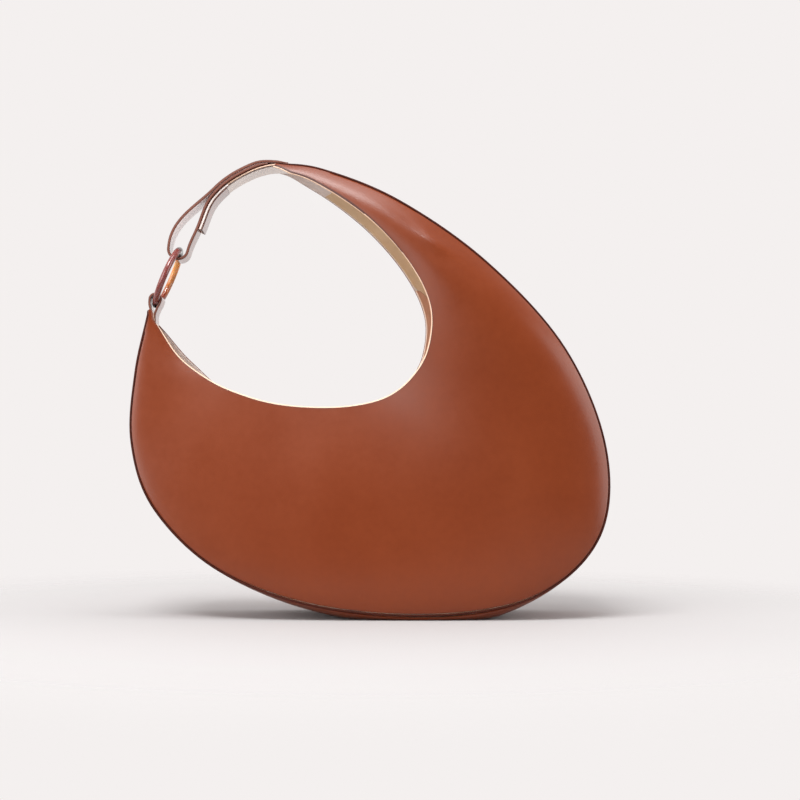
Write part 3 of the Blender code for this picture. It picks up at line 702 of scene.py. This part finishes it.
panelForm = {
    "columns": 34,  # between the closer ones
    "edgeColumns": [0.35 * mm, 1.0 * mm, 2.2 * mm],  # closer columns beside the mouth
    "short": 1.0 * mm,  # a wide row ends this much further from the seam line than a narrow one
    "narrow": 12 * mm,  # a row under this width has even columns instead, as many in all
    "evenColumns": 38,
    "lip": 1.5 * mm,  # the pale folded lip that stands out along the mouth
    "archLip": 2.2 * mm,
    "archStarts": (11.3, 12.1),  # from each of these on the lip's painted line is broader
    "taperStarts": (13.35, 12.9),  # front and back: from here the panel narrows, into the tail's edge
    "taperLeft": (0.3, 0.05),
    "backRise": 3.2 * mm,  # the back's mouth edge stands above the front's near the left tip
    "backRiseEnd": 2.2,
    "backLipShare": 0.45,
    "backLipLeft": 0.4,
    "rings": 12,
    "tongue": [0, 0.25, 0.5, 0.75, 0.9, 1],  # rows of the small tongue over the tab's foot
    "tongueSeam": Vector((-0.3 * mm, 3.9 * mm)),
    "tongueMouth": Vector((-0.9 * mm, 7.6 * mm)),
    "tongueRim": 2 * mm,
}

facingForm = {"depth": 30 * mm, "start": 2.3, "end": 10.6, "slant": 0.85, "stub": 0.12, "columns": 8}

liningForm = {
    "start": 1.0,
    "end": 12.75,
    "columns": 26,
    "bare": 6 * mm,
    "runOn": 1.3 * mm,
    "runWay": 1 * mm,  # the edge runs on in the direction of its last millimetre
}

weltForm = {"sides": 12, "radius": 0.78 * mm, "tip": 0.4, "tipRows": 6}


def mouthShare(place, side):  # where the panel begins, across from the mouth line
    begin, left = panelForm["taperStarts"][side > 0], panelForm["taperLeft"][side > 0]
    taper = ramp(place, begin, lastStation - begin) ** 1.5
    start = (1 - left) * panelShares(place)[2] * taper
    if side > 0:
        t = min(max(place / panelForm["backRiseEnd"], 0), 1)
        start -= panelForm["backRise"] * math.sin(math.pi * t) ** 1.2 / crescentWidth(place)
    return start


def panelColumns(place, side):
    width, last = crescentWidth(place), panelShares(place)[2]
    columns = spread(0, last, panelForm["evenColumns"])
    if width > panelForm["narrow"]:
        near = [size / width for size in panelForm["edgeColumns"]]
        body = spread(near[-1], last - near[-1], panelForm["columns"])
        columns = [0] + near[:-1] + body + [last - panelForm["short"] / width]
    start = mouthShare(place, side)
    return [start + share * (last - start) / last for share in columns]


def lipFinish(share):
    painted = 1 + sum(share * lastStation > start for start in panelForm["archStarts"])
    return [2] * painted + [3] * (panelForm["rings"] - painted)


def lipBulge(share):
    more = ramp(share * lastStation, panelForm["archStarts"][0], 1)
    ends = ramp(share * lastStation, 0, 0.15)
    return (panelForm["lip"] + (panelForm["archLip"] - panelForm["lip"]) * more) * (0.3 + 0.7 * ends)


def backLipBulge(share):
    left = panelForm["backLipLeft"] * (1 - ramp(share * lastStation, 1.5, 1.5))
    return lipBulge(share) * (panelForm["backLipShare"] + left)


def tongueWidth(step):  # share of its width that is left so far up the tongue
    return math.sqrt(1 - 0.75 * step ** 4)


def tongueShift(first, step):  # how each point of the panel's first row moves to this step of the tongue
    count = len(first) - 1
    shift = []
    for index in range(count + 1):
        t = 0.5 + (index / count - 0.5) * tongueWidth(step)
        move = (panelForm["tongueMouth"] * (1 - t) + panelForm["tongueSeam"] * t) * step
        shift.append(inSpace(move, 0) + (first[count] - first[0]) * (t - index / count))
    return shift


def makePanel(name, side, node):
    def columnsAt(place):
        return panelColumns(place, side)

    def pointAt(place, share, depth):
        return underPanel(place, share, depth, side)

    places, depths = rowsBetween(0, lastStation), (0, bagForm["leather"])
    faces = sheetRows(places, columnsAt, pointAt, depths)
    rims = []
    for place in places:
        columns, last = columnsAt(place), panelShares(place)[2]
        rims.append([min(share - columns[0], last - share) * crescentWidth(place) for share in columns])
    even = spread(0, panelShares(0)[2], panelForm["evenColumns"])
    foot = sheetRows([0], lambda place: even, pointAt, depths)
    for step in panelForm["tongue"][1:]:
        shift = tongueShift(foot[0][0], step)
        for face, (row,) in zip(faces, foot):
            face.insert(0, [point + way for point, way in zip(row, shift)])
        rims.insert(0, [panelForm["tongueRim"]] * len(shift))
    rings = panelForm["rings"]
    plain = [0] * rings
    backLip = [3] * 5 + [4] * 4 + [1] * 3  # a thin darker line along the top of the lip
    bulge, lip = (lipBulge, lipFinish) if side < 0 else (backLipBulge, backLip)
    piece = sheetSolid(name, *faces, [bodyLeather, paleSuede, darkEdge, paleEdge, strapEdge],
                       [bulge, 0.15 * mm, 0.3 * mm], [lip, plain, plain], rings, rims)
    rideBag(piece, "tan_leather", node)


def facedShare(place):
    left = 1 - min(max((facingForm["end"] - place) / facingForm["slant"], 0), 1)
    return panelShares(place)[0] * (1 - left * (1 - facingForm["stub"]))


def makeFacing(name, side, node):
    def columnsAt(place):
        return spread(mouthShare(place, side), facedShare(place), facingForm["columns"])

    def pointAt(place, share, depth):
        return underPanel(place, share, depth, side)

    places = rowsBetween(facingForm["start"], facingForm["end"])
    faces = sheetRows(places, columnsAt, pointAt, (liningFace, facingBack))
    piece = sheetSolid(name, *faces, [facingLeather, facingLeather, paleEdge, strapEdge],
                       [0.3 * mm, 0.15 * mm, 0.15 * mm], [[2] * 6, [3] * 6, [3] * 6], 6,
                       rimRows(places, columnsAt, crescentWidth))
    rideBag(piece, "brown_facing", node)


def liningTop(place, side):
    if place < facingForm["start"] - 0.01:  # a pale strip stays bare along the left tip's mouth
        return mouthShare(place, side) + liningForm["bare"] / crescentWidth(place)
    if place <= facingForm["end"]:
        return facedShare(place) + bagForm["gap"] / crescentWidth(place)
    return facedShare(facingForm["end"]) * (1 - ramp(place, facingForm["end"], 0.1))


def liningRow(place, depth, side):  # its edge runs on in a straight line, in beside the band's lining
    columns = spread(liningTop(place, side), panelShares(place)[1], liningForm["columns"])
    row = [underPanel(place, share, depth, side) for share in columns]
    before = underPanel(place, columns[-1] - liningForm["runWay"] / crescentWidth(place), depth, side)
    return row + [row[-1] + (row[-1] - before).normalized() * liningForm["runOn"]]


def makeLining(name, side, node):
    places = rowsBetween(liningForm["start"], liningForm["end"])
    faces = [[liningRow(place, depth, side) for place in places] for depth in (liningFace, liningBack)]
    rideBag(plainSheet(name, faces, suede, 0.1 * mm), "beige_suede", node)


def makeWelt(name, side, node):
    width = seamLine[0] - mouthLine[0]
    path = []
    for step in panelForm["tongue"][:0:-1]:
        foot = seamLine[0] + panelForm["tongueSeam"] * step - width * (1 - tongueWidth(step)) / 2
        path.append(inSpace(foot, side * seamDepth(0)))
    for place in rowsBetween(0, lastStation):
        path.append(inSpace(curveValue(seamLine, place), side * seamDepth(place)))
    last, tip = len(path) - 1, weltForm["tip"]
    mesh = bmesh.new()
    loops = []
    for index, point in enumerate(path):
        along = (path[min(index + 1, last)] - path[max(index - 1, 0)]).normalized()
        aside = along.cross(Vector((0, 1, 0))).normalized()
        up = aside.cross(along).normalized()
        thick = tip + (1 - tip) * ramp(min(index, last - index), 0, weltForm["tipRows"])
        loops.append(roundLoop(mesh, point, aside, up, weltForm["radius"] * thick, weltForm["sides"]))
    joinLoops(mesh, loops)
    rideBag(addObject(name, mesh, [seamPaint]), "dark_edge_paint", node)


bandForm = {
    "columns": 22,
    "edgeColumn": 1.2 * mm,
    "liningStart": 0.75,
    "liningShort": 0.012,  # the lining ends this much of a station before the patch
    "baseEnd": 9,
    "patchLength": 32 * mm,
    "patchPly": 1.0 * mm,
    "cadRows": 4,
}

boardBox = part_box("base_board")
boardForm = {"margin": 4 * mm, "easing": 16 * mm}


def findPatchStart():
    rows = spread(0, bandEnd, bandEnd * bandForm["cadRows"])
    left, row = bandForm["patchLength"], len(rows) - 1
    while left > 0:
        left -= (curveValue(bandLine, rows[row]) - curveValue(bandLine, rows[row - 1])).length
        row -= 1
    return rows[row]


patchStart = findPatchStart()


def bandColumns(place):
    last = 1 - bandSetback / bandDepth(place)
    near = bandForm["edgeColumn"] / bandDepth(place)
    return [-last] + spread(-last + near, last - near, bandForm["columns"]) + [last]


def makeBand():
    places = rowsBetween(0, bandEnd)
    plain, layered, pale = [0] * 12, [3] * 4 + [4] * 4 + [2] * 4, [3] * 4 + [1] * 8

    def sideFinish(share):
        place = share * bandEnd
        return plain if place < lastStation else layered if place < patchStart else pale

    faces = sheetRows(places, bandColumns, underBand, (0, bagForm["leather"]))
    piece = sheetSolid("gussetBand", *faces, [bodyLeather, paleSuede, darkEdge, strapEdge, paleEdge],
                       [0.2 * mm] * 3, [sideFinish, sideFinish, layered], 12,
                       rimRows(places, bandColumns, bandDepth))
    rideBag(piece, "tan_leather", "gusset_band")


def boardLift(place):  # how far the board raises the lining there
    if place >= bandForm["baseEnd"]:
        return 0
    x, easing = curveValue(bandLine, place).x, boardForm["easing"]
    left = boardBox[0].x - boardForm["margin"] - easing
    right = boardBox[1].x + boardForm["margin"]
    raised = boardBox[1].z - boardBox[0].z + bagForm["gap"]
    return raised * ramp(x, left, easing) * (1 - ramp(x, right, easing))


def makeBandLining():
    def columnsAt(place):
        last = 1 - liningSetback / bandDepth(place)
        return spread(-last, last, bandForm["columns"])

    def pointAt(place, share, depth):
        return underBand(place, share, depth + boardLift(place))

    places = rowsBetween(bandForm["liningStart"], patchStart - bandForm["liningShort"])
    faces = sheetRows(places, columnsAt, pointAt, (liningFace, liningBack))
    rideBag(plainSheet("gussetLining", faces, paleSuede, 0.1 * mm), "beige_suede", "gusset_lining")


def makeTailPatch():
    places = rowsBetween(patchStart, bandEnd)
    faces = sheetRows(places, bandColumns, underBand, (liningFace, liningFace + bandForm["patchPly"]))
    piece = sheetSolid("tailPatch", *faces, [strapLeather, strapLeather, darkEdge, paleEdge],
                       [0.15 * mm] * 3, [[3, 2, 2, 2, 2, 2]] * 3, 6,
                       rimRows(places, bandColumns, bandDepth))
    rideBag(piece, "tan_leather", "tail_patch")


makePanel("frontPanel", -1, "front_panel")
makePanel("backPanel", 1, "back_panel")
makeBand()
makeWelt("frontSeam", -1, "front_welt")
makeWelt("backSeam", 1, "back_welt")
makeTailPatch()
print("stage: shell ready")

makeFacing("frontFacing", -1, "front_facing")
makeFacing("backFacing", 1, "back_facing")
makeLining("frontLining", -1, "front_lining")
makeLining("backLining", 1, "back_lining")
makeBandLining()
print("stage: lining ready")


# Slip pocket on the back lining

pocketForm = {
    "start": 4.75,
    "end": 7.5,
    "top": 0.3,
    "bottom": 0.85,
    "thickness": 0.8 * mm,
    "slack": 2.5 * mm,
    "columns": 18,
}

pocketSeat = liningBack + bagForm["gap"]


def pocketEnds(place):
    faced, lined, _ = panelShares(place)
    return [faced + (lined - faced) * pocketForm[key] for key in ("top", "bottom")]


def pocketPoint(place, share, depth):  # the pocket hangs away from the lining towards its open top
    t = (place - pocketForm["start"]) / (pocketForm["end"] - pocketForm["start"])
    top, bottom = pocketEnds(place)
    slack = pocketForm["slack"] * 4 * t * (1 - t) * (bottom - share) / (bottom - top)
    return underPanel(place, share, depth + slack, 1)


def makePocket():
    places = rowsBetween(pocketForm["start"], pocketForm["end"])
    faces = sheetRows(places, lambda place: spread(*pocketEnds(place), pocketForm["columns"]),
                      pocketPoint, (pocketSeat, pocketSeat + pocketForm["thickness"]))
    rideBag(plainSheet("slipPocket", faces, suede, 0.2 * mm), "beige_suede", "slip_pocket")


makePocket()


# Strap: over the arch, folded round the ring and back under itself

strapForm = {
    "ply": 2.0 * mm,
    "lap": 9 * mm,
    "setback": 6 * mm,
    "skive": 9 * mm,
    "skivedPly": 0.6 * mm,
    "sideGap": 0.5 * mm,
    "foldTaper": 2.6 * mm,
    "foldInner": 6.2 * mm,
    "split": 0.6,
    "foldStart": math.radians(176),
    "foldEnd": math.radians(345),
    "handle": 0.38,
    "lapSteps": 60,
    "freeSteps": 26,
    "foldSteps": 36,
    "endSteps": 50,
    "columns": 12,
}


def barReach(halfWidth):
    inner = ringForm["radius"] - ringForm["barRadius"]
    return ringForm["radius"] - math.sqrt(inner ** 2 - halfWidth ** 2)


def bezier(start, startWay, end, endWay, steps):
    reach = (end - start).length * strapForm["handle"]
    a = start + startWay * reach
    b = end - endWay * reach
    found = []
    for step in range(1, steps):
        t = step / steps
        u = 1 - t
        found.append(start * u ** 3 + a * 3 * u * u * t + b * 3 * u * t * t + end * t ** 3)
    return found


def plyAround(path, ply):  # both faces of a ply laid along a flat path, the right one first
    half = ply / 2
    return [(point - normal * half, point + normal * half) for point, normal in zip(path, leftOf(path))]


def ribbonSolid(name, sides, halfWidths, columns, bulge):
    shares = spread(-1, 1, columns)
    faces = [[], []]
    for pair, width in zip(sides, halfWidths):
        for face, point in zip(faces, pair):
            face.append([inSpace(point, width * share) for share in shares])
    rims = [[(1 - abs(share)) * width for share in shares] for width in halfWidths]
    edged = [2] * 4 + [3] * 4 + [2] * 4  # dark corners on a paler cut
    return sheetSolid(name, *faces, [strapLeather, strapLining, strapOutline, strapEdge],
                      [bulge] * 3, [edged] * 3, 12, rims)


def makeStrap():
    line = [curveValue(bandLine, place) for place in rowsBetween(0, bandEnd)]
    outward = [-normal for normal in leftOf(line)]
    lengths = [0]
    for a, b in zip(line, line[1:]):
        lengths.append(lengths[-1] + (b - a).length)
    arch, end = lengths[lastStation * bagForm["rowsAStation"]], lengths[-1]
    strapStart = arch - strapForm["lap"]
    innerEnd = arch + strapForm["setback"]
    split = arch + (end - arch) * strapForm["split"]
    ply, thin, skive, gap = strapForm["ply"], strapForm["skivedPly"], strapForm["skive"], bagForm["gap"]

    def reading(distance):
        row = 0
        while row < len(lengths) - 2 and lengths[row + 1] < distance:
            row += 1
        t = (distance - lengths[row]) / (lengths[row + 1] - lengths[row])
        return line[row].lerp(line[row + 1], t), outward[row].lerp(outward[row + 1], t).normalized()

    def standOff(distance):
        return gap + (ply + gap) * ramp(distance, innerEnd - skive, 2 * skive)

    def outerPly(distance):
        point, way = reading(distance)
        thickness = thin + (ply - thin) * ramp(distance, strapStart, skive)
        low = standOff(distance)
        return point + way * (low + thickness), point + way * low

    def innerPly(distance):
        point, way = reading(distance)
        return point + way * gap, point + way * (standOff(distance) - gap)

    lapSides = [outerPly(distance) for distance in spread(strapStart, split, strapForm["lapSteps"])]
    endSides = [innerPly(distance) for distance in spread(end, innerEnd, strapForm["endSteps"])]
    leave = (lapSides[-1][0] + lapSides[-1][1]) / 2
    arrive = (endSides[0][0] + endSides[0][1]) / 2
    leaving, arriving = reading(split)[1], reading(end)[1]

    archHalf = bandDepth(lastStation) - bagForm["weltRadius"] - strapForm["sideGap"]
    foldHalf = archHalf - strapForm["foldTaper"]
    radius = strapForm["foldInner"] + ply / 2
    sink = barReach(foldHalf) + gap - strapForm["foldInner"]
    foldCentre = ringTop - ringWay * sink

    first, last = strapForm["foldStart"], strapForm["foldEnd"]
    arc = [foldCentre + onCircle(angle) * radius for angle in spread(first, last, strapForm["foldSteps"])]
    downWay, upWay = onCircle(first + math.pi / 2), onCircle(last + math.pi / 2)
    down = bezier(leave, Vector((-leaving.y, leaving.x)), arc[0], downWay, strapForm["freeSteps"])
    up = bezier(arc[-1], upWay, arrive, Vector((arriving.y, -arriving.x)), strapForm["freeSteps"])
    freeSides = plyAround([leave] + down + arc + up + [arrive], ply)
    sides = lapSides + freeSides[1:-1] + endSides

    lowest = foldCentre.y - radius
    halfWidths = []
    for a, b in sides:
        share = ((a.y + b.y) / 2 - lowest) / (leave.y - lowest)
        halfWidths.append(foldHalf + (archHalf - foldHalf) * ramp(share, 0, 1))
    piece = ribbonSolid("strapLoop", sides, halfWidths, strapForm["columns"], 0.25 * mm)
    rideBag(piece, "strap_leather", "strap_loop")


def makeTab():
    halfWidth = mouthDepth(0) - bagForm["leather"] - tabForm["sideGap"]
    innerHalf = tabForm["innerWidth"] / 2
    bend = innerHalf + tabForm["ply"] / 2
    innerTop = barInTab.y + barReach(halfWidth) + tabForm["play"]
    arcCentre = Vector((tabLeftUp + bend, innerTop - innerHalf))
    hold = ringForm["barRadius"] + bagForm["gap"] + tabForm["ply"] / 2
    tail, steps = tabForm["tail"], tabForm["pathSteps"]
    stops = [Vector((tabLeft, height)) for height in (-tail, -tail / 2, 0)]
    stops.append(Vector((tabLeftUp, barInTab.y - ringForm["barRadius"] / 2)))
    stops += [arcCentre + onCircle(angle) * bend for angle in spread(math.pi, 0, tabForm["arcSteps"])]
    stops += [barInTab + onCircle(angle) * hold for angle in (tabForm["curl"] / 3, tabForm["curl"])]
    stops += [Vector((tabRight, height)) for height in (0, -tail / 2, -tail)]
    path = [tabOrigin + curveValue(stops, step / steps) for step in range((len(stops) - 1) * steps + 1)]
    sides = [(left, right) for right, left in plyAround(path, tabForm["ply"])]
    piece = ribbonSolid("ringTab", sides, [halfWidth] * len(sides), tabForm["columns"], 0.2 * mm)
    rideBag(piece, "strap_leather", "ring_tab")


makeStrap()
makeTab()
print("stage: strap and tab ready")


# Ring

def makeRing():
    mesh = bmesh.new()
    loops = []
    depthWay, up = Vector((0, 1, 0)), inSpace(ringWay, 0)
    axis = up.cross(depthWay).normalized()
    for turn in range(ringForm["turns"]):
        angle = 2 * math.pi * turn / ringForm["turns"]
        outward = up * math.cos(angle) + depthWay * math.sin(angle)
        middle = inSpace(ringCentre, 0) + outward * ringForm["radius"]
        loops.append(roundLoop(mesh, middle, outward, axis, ringForm["barRadius"], ringForm["sides"]))
    joinLoops(mesh, loops, closed=True)
    piece = addObject("resinRing", mesh, [resin], 80)
    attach(piece, "ring")
    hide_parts("ring")


makeRing()


# Magnetic snap

snapForm = {
    "station": 5,
    "drop": 16 * mm,
    "seat": 0.4 * mm,
    "radius": 8.5 * mm,
    "thickness": 2.4 * mm,
    "nubRadius": 3.5 * mm,
    "nubHeight": 1.4 * mm,
    "nubRound": 0.4 * mm,
    "play": 0.4 * mm,
    "lead": 0.3 * mm,
    "round": 0.6 * mm,
    "groove": 0.25 * mm,
    "grooveShares": ((0.80, 0), (0.78, 1), (0.74, 1), (0.72, 0)),  # of the radius, and of the groove
    "turns": 72,
}


def snapProfile(stud):  # radius and height of each ring of corners, from the middle of the back
    full, top, roundness = snapForm["radius"], snapForm["thickness"], snapForm["round"]
    points = [(0, 0), (full - roundness / 2, 0), (full, roundness / 2)]
    for angle in spread(0, math.pi / 2, 6):
        points.append((full - roundness * (1 - math.cos(angle)), top - roundness * (1 - math.sin(angle))))
    points += [(full * share, top - snapForm["groove"] * deep) for share, deep in snapForm["grooveShares"]]
    if stud:
        radius, height, ease = snapForm["nubRadius"], top + snapForm["nubHeight"], snapForm["nubRound"]
        points += [(radius, top), (radius, height - ease), (radius - 0.3 * ease, height - 0.3 * ease)]
        return points + [(radius - ease, height), (0, height)]
    radius, lead = snapForm["nubRadius"] + snapForm["play"], snapForm["lead"]
    floor = top - snapForm["nubHeight"] - snapForm["play"]
    return points + [(radius + lead, top), (radius, top - lead), (radius, floor), (0, floor)]


def makeSnapHalf(name, side, stud, node):
    station = snapForm["station"]
    share = snapForm["drop"] / crescentWidth(station)
    normal = -panelNormal(station, share, side)
    centre = underPanel(station, share, facingBack + snapForm["seat"], side)
    first = normal.cross(Vector((1, 0, 0))).normalized()
    second = normal.cross(first)
    mesh = bmesh.new()
    loops = []
    for radius, height in snapProfile(stud):
        count = snapForm["turns"] if radius else 1
        loops.append(roundLoop(mesh, centre + normal * height, first, second, radius, count))
    joinLoops(mesh, loops)
    rideBag(addObject(name, mesh, [brass], 30), "aged_brass", node)


makeSnapHalf("frontSnap", -1, False, "front_magnet")
makeSnapHalf("backSnap", 1, True, "back_magnet")
print("stage: ring and snap ready")


# Stitching

stitchForm = {
    "pitch": 3.4 * mm,
    "length": 2.7 * mm,
    "radius": 0.28 * mm,
    "inset": 2.2 * mm,
    "sides": 6,
    "shape": ((-1, .4), (-.75, .85), (-.3, 1), (.3, 1), (.75, .85), (1, .4)),  # share along, and thickness
    "lift": 0.35,
    "arch": 0.8,
    "ends": (0.1, 0.04),  # how far the facing's rows and the pocket's stay from their ends
    "spots": (20, 30),  # down the pocket's sides and along its bottom
}


def stitchRow(name, spots):  # spots are points with an upward normal, in order along the row
    mesh = bmesh.new()
    pitch, radius = stitchForm["pitch"], stitchForm["radius"]
    travelled = [0]
    for (a, _), (b, _) in zip(spots, spots[1:]):
        travelled.append(travelled[-1] + (b - a).length)
    count = int(travelled[-1] / pitch)
    margin = (travelled[-1] - count * pitch) / 2
    row = 0
    for number in range(count):
        centreAt = margin + (number + 0.5) * pitch
        while travelled[row + 1] < centreAt:
            row += 1
        t = (centreAt - travelled[row]) / (travelled[row + 1] - travelled[row])
        centre = spots[row][0].lerp(spots[row + 1][0], t)
        up = spots[row][1].lerp(spots[row + 1][1], t).normalized()
        along = (spots[row + 1][0] - spots[row][0]).normalized()
        side = up.cross(along).normalized()
        loops = []
        for share, thick in stitchForm["shape"]:
            rise = radius * (stitchForm["lift"] - stitchForm["arch"] * share * share)
            middle = centre + along * share * stitchForm["length"] / 2 + up * rise
            loops.append(roundLoop(mesh, middle, side, up, radius * thick, stitchForm["sides"]))
        joinLoops(mesh, loops)
    rideBag(addObject(name, mesh, [paleThread]), "beige_suede")


def makeStitching():
    inset, (facingEnd, pocketEnd) = stitchForm["inset"], stitchForm["ends"]
    places = rowsBetween(facingForm["start"] + facingEnd, facingForm["end"] - facingForm["slant"])
    for name, side in (("frontFacingStitches", -1), ("backFacingStitches", 1)):
        spots = []
        for place in places:
            share = facedShare(place) - inset / crescentWidth(place)
            spots.append((underPanel(place, share, facingBack, side), -panelNormal(place, share, side)))
        stitchRow(name, spots)

    def spot(place, share):
        return pocketPoint(place, share, pocketSeat + pocketForm["thickness"]), -panelNormal(place, share, 1)

    first, last = pocketForm["start"] + pocketEnd, pocketForm["end"] - pocketEnd
    downSpots, lowSpots = stitchForm["spots"]
    left, right = [[spot(place, share) for share in spread(*pocketEnds(place), downSpots)]
                   for place in (first, last)]
    bottom = [spot(place, pocketEnds(place)[1] - inset / crescentWidth(place))
              for place in spread(first, last, lowSpots)]
    stitchRow("pocketLeftStitches", left)
    stitchRow("pocketBottomStitches", bottom)
    stitchRow("pocketRightStitches", right[::-1])


makeStitching()

# The board under the lining keeps its CAD solid
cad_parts["base_board"].data.materials.clear()
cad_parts["base_board"].data.materials.append(boardPaper)
print("stage: stitching ready")


# Camera, at the photograph's viewing angle: 1.2 m away, level, a little left of the bag's middle

photoForm = {
    "pixels": 800,
    "focal": 1610,
    "vanishing": (340, 455),
    "distance": 1207.5 * mm,
    "left": -20.8 * mm,
    "height": 120 * mm,
    "sensor": 36.0,
}


def makeCamera():
    pixels, (across, down) = photoForm["pixels"], photoForm["vanishing"]
    data = bpy.data.cameras.new("camera")
    data.sensor_width = photoForm["sensor"]
    data.lens = photoForm["sensor"] * photoForm["focal"] / pixels
    data.shift_x = (pixels / 2 - across) / pixels
    data.shift_y = (down - pixels / 2) / pixels
    data.clip_start = 0.01
    data.clip_end = 50
    camera = bpy.data.objects.new("camera", data)
    camera.location = (photoForm["left"], -photoForm["distance"], photoForm["height"])
    camera.rotation_euler = (math.pi / 2, 0, 0)
    bpy.context.scene.collection.objects.link(camera)
    bpy.context.scene.camera = camera


makeCamera()


# Studio: a pale floor, soft boxes and a pale surround

studioForm = {
    "paper": linear(244, 240, 239),
    "floorDark": linear(188, 186, 186),
    "floorLight": linear(198, 196, 196),
    "bounce": linear(158, 153, 150),
    "halfWidth": 3.0,
    "fade": (0.2, 0.55),
    "surround": 1.0,
    "room": 0.34,
    "roomTurn": (-0.45, 0.15),
}

lampForms = {  # place, aim, width and height, watts
    "keyBox": ((-0.55, -1.35, 2.20), (-0.02, 0, 0.25), (1.2, 0.8), 44.0),
    "leftBox": ((-1.6, -1.35, 0.7), (-0.05, 0, 0.16), (1.9, 1.6), 29.0),
    "rightBox": ((1.95, -0.5, 0.5), (0.05, 0, 0.16), (1.8, 1.8), 26.0),
    "topBox": ((0.1, -0.72, 2.5), (0, 0, 0.25), (1.2, 0.9), 15.0),
}


def makeLamps():
    for name, (place, aim, size, watts) in lampForms.items():
        data = bpy.data.lights.new(name, "AREA")
        data.shape = "RECTANGLE"
        data.size, data.size_y = size
        data.energy = watts
        lamp = bpy.data.objects.new(name, data)
        lamp.location = place
        lamp.rotation_euler = (Vector(aim) - lamp.location).to_track_quat("-Z", "Y").to_euler()
        bpy.context.scene.collection.objects.link(lamp)


def makeFloor():  # a plain floor that fades into the surround away from the bag
    half = studioForm["halfWidth"]
    mesh = bmesh.new()
    corners = ((-half, -half), (half, -half), (half, half), (-half, half))
    mesh.faces.new([mesh.verts.new((x, y, 0)) for x, y in corners])
    made, tree, shader = newMaterial("paperFloor")
    place = objectPlace(tree)
    tone = mixColours(tree, addNoise(tree, place, 900.0), studioForm["floorDark"], studioForm["floorLight"])
    rays = addNode(tree, "LightPath").outputs
    mirrored = calculate(tree, "MAXIMUM", rays["Is Glossy Ray"], rays["Is Transmission Ray"])
    seen = calculate(tree, "MAXIMUM", rays["Is Camera Ray"], mirrored)
    away = addNode(tree, "VectorMath", {0: place}, operation="LENGTH").outputs["Value"]
    feed(tree, shader, {
        "Base Color": mixColours(tree, seen, studioForm["bounce"], tone),
        "Roughness": 0.9,
        "Specular IOR Level": 0.1,
        "Alpha": rescale(tree, away, *studioForm["fade"], 1, 0, "SMOOTHSTEP"),
    })
    addObject("paperFloor", mesh, [made])


def makeSurround():  # white paper behind and beside the bag, a dimmer room on the camera's side
    world = bpy.data.worlds.new("studioSurround")
    bpy.context.scene.world = world
    world.use_nodes = True
    tree = world.node_tree
    tree.nodes.clear()
    rays = addNode(tree, "LightPath").outputs
    way = addNode(tree, "TexCoord").outputs["Generated"]
    split = addNode(tree, "SeparateXYZ", {0: way}).outputs
    room = rescale(tree, split["Y"], *studioForm["roomTurn"], studioForm["room"], studioForm["surround"])
    lit = addNode(tree, "Background", {"Color": studioForm["paper"], "Strength": room})
    seen = addNode(tree, "Background", {"Color": studioForm["paper"], "Strength": 1.0})
    either = calculate(tree, "MAXIMUM", rays["Is Camera Ray"], rays["Is Transmission Ray"])
    mix = addNode(tree, "MixShader", {0: either, 1: lit.outputs[0], 2: seen.outputs[0]})
    addNode(tree, "OutputWorld", {"Surface": mix.outputs[0]})


makeLamps()
makeFloor()
makeSurround()
bpy.context.scene.view_settings.view_transform = "Standard"
print("stage: studio ready")
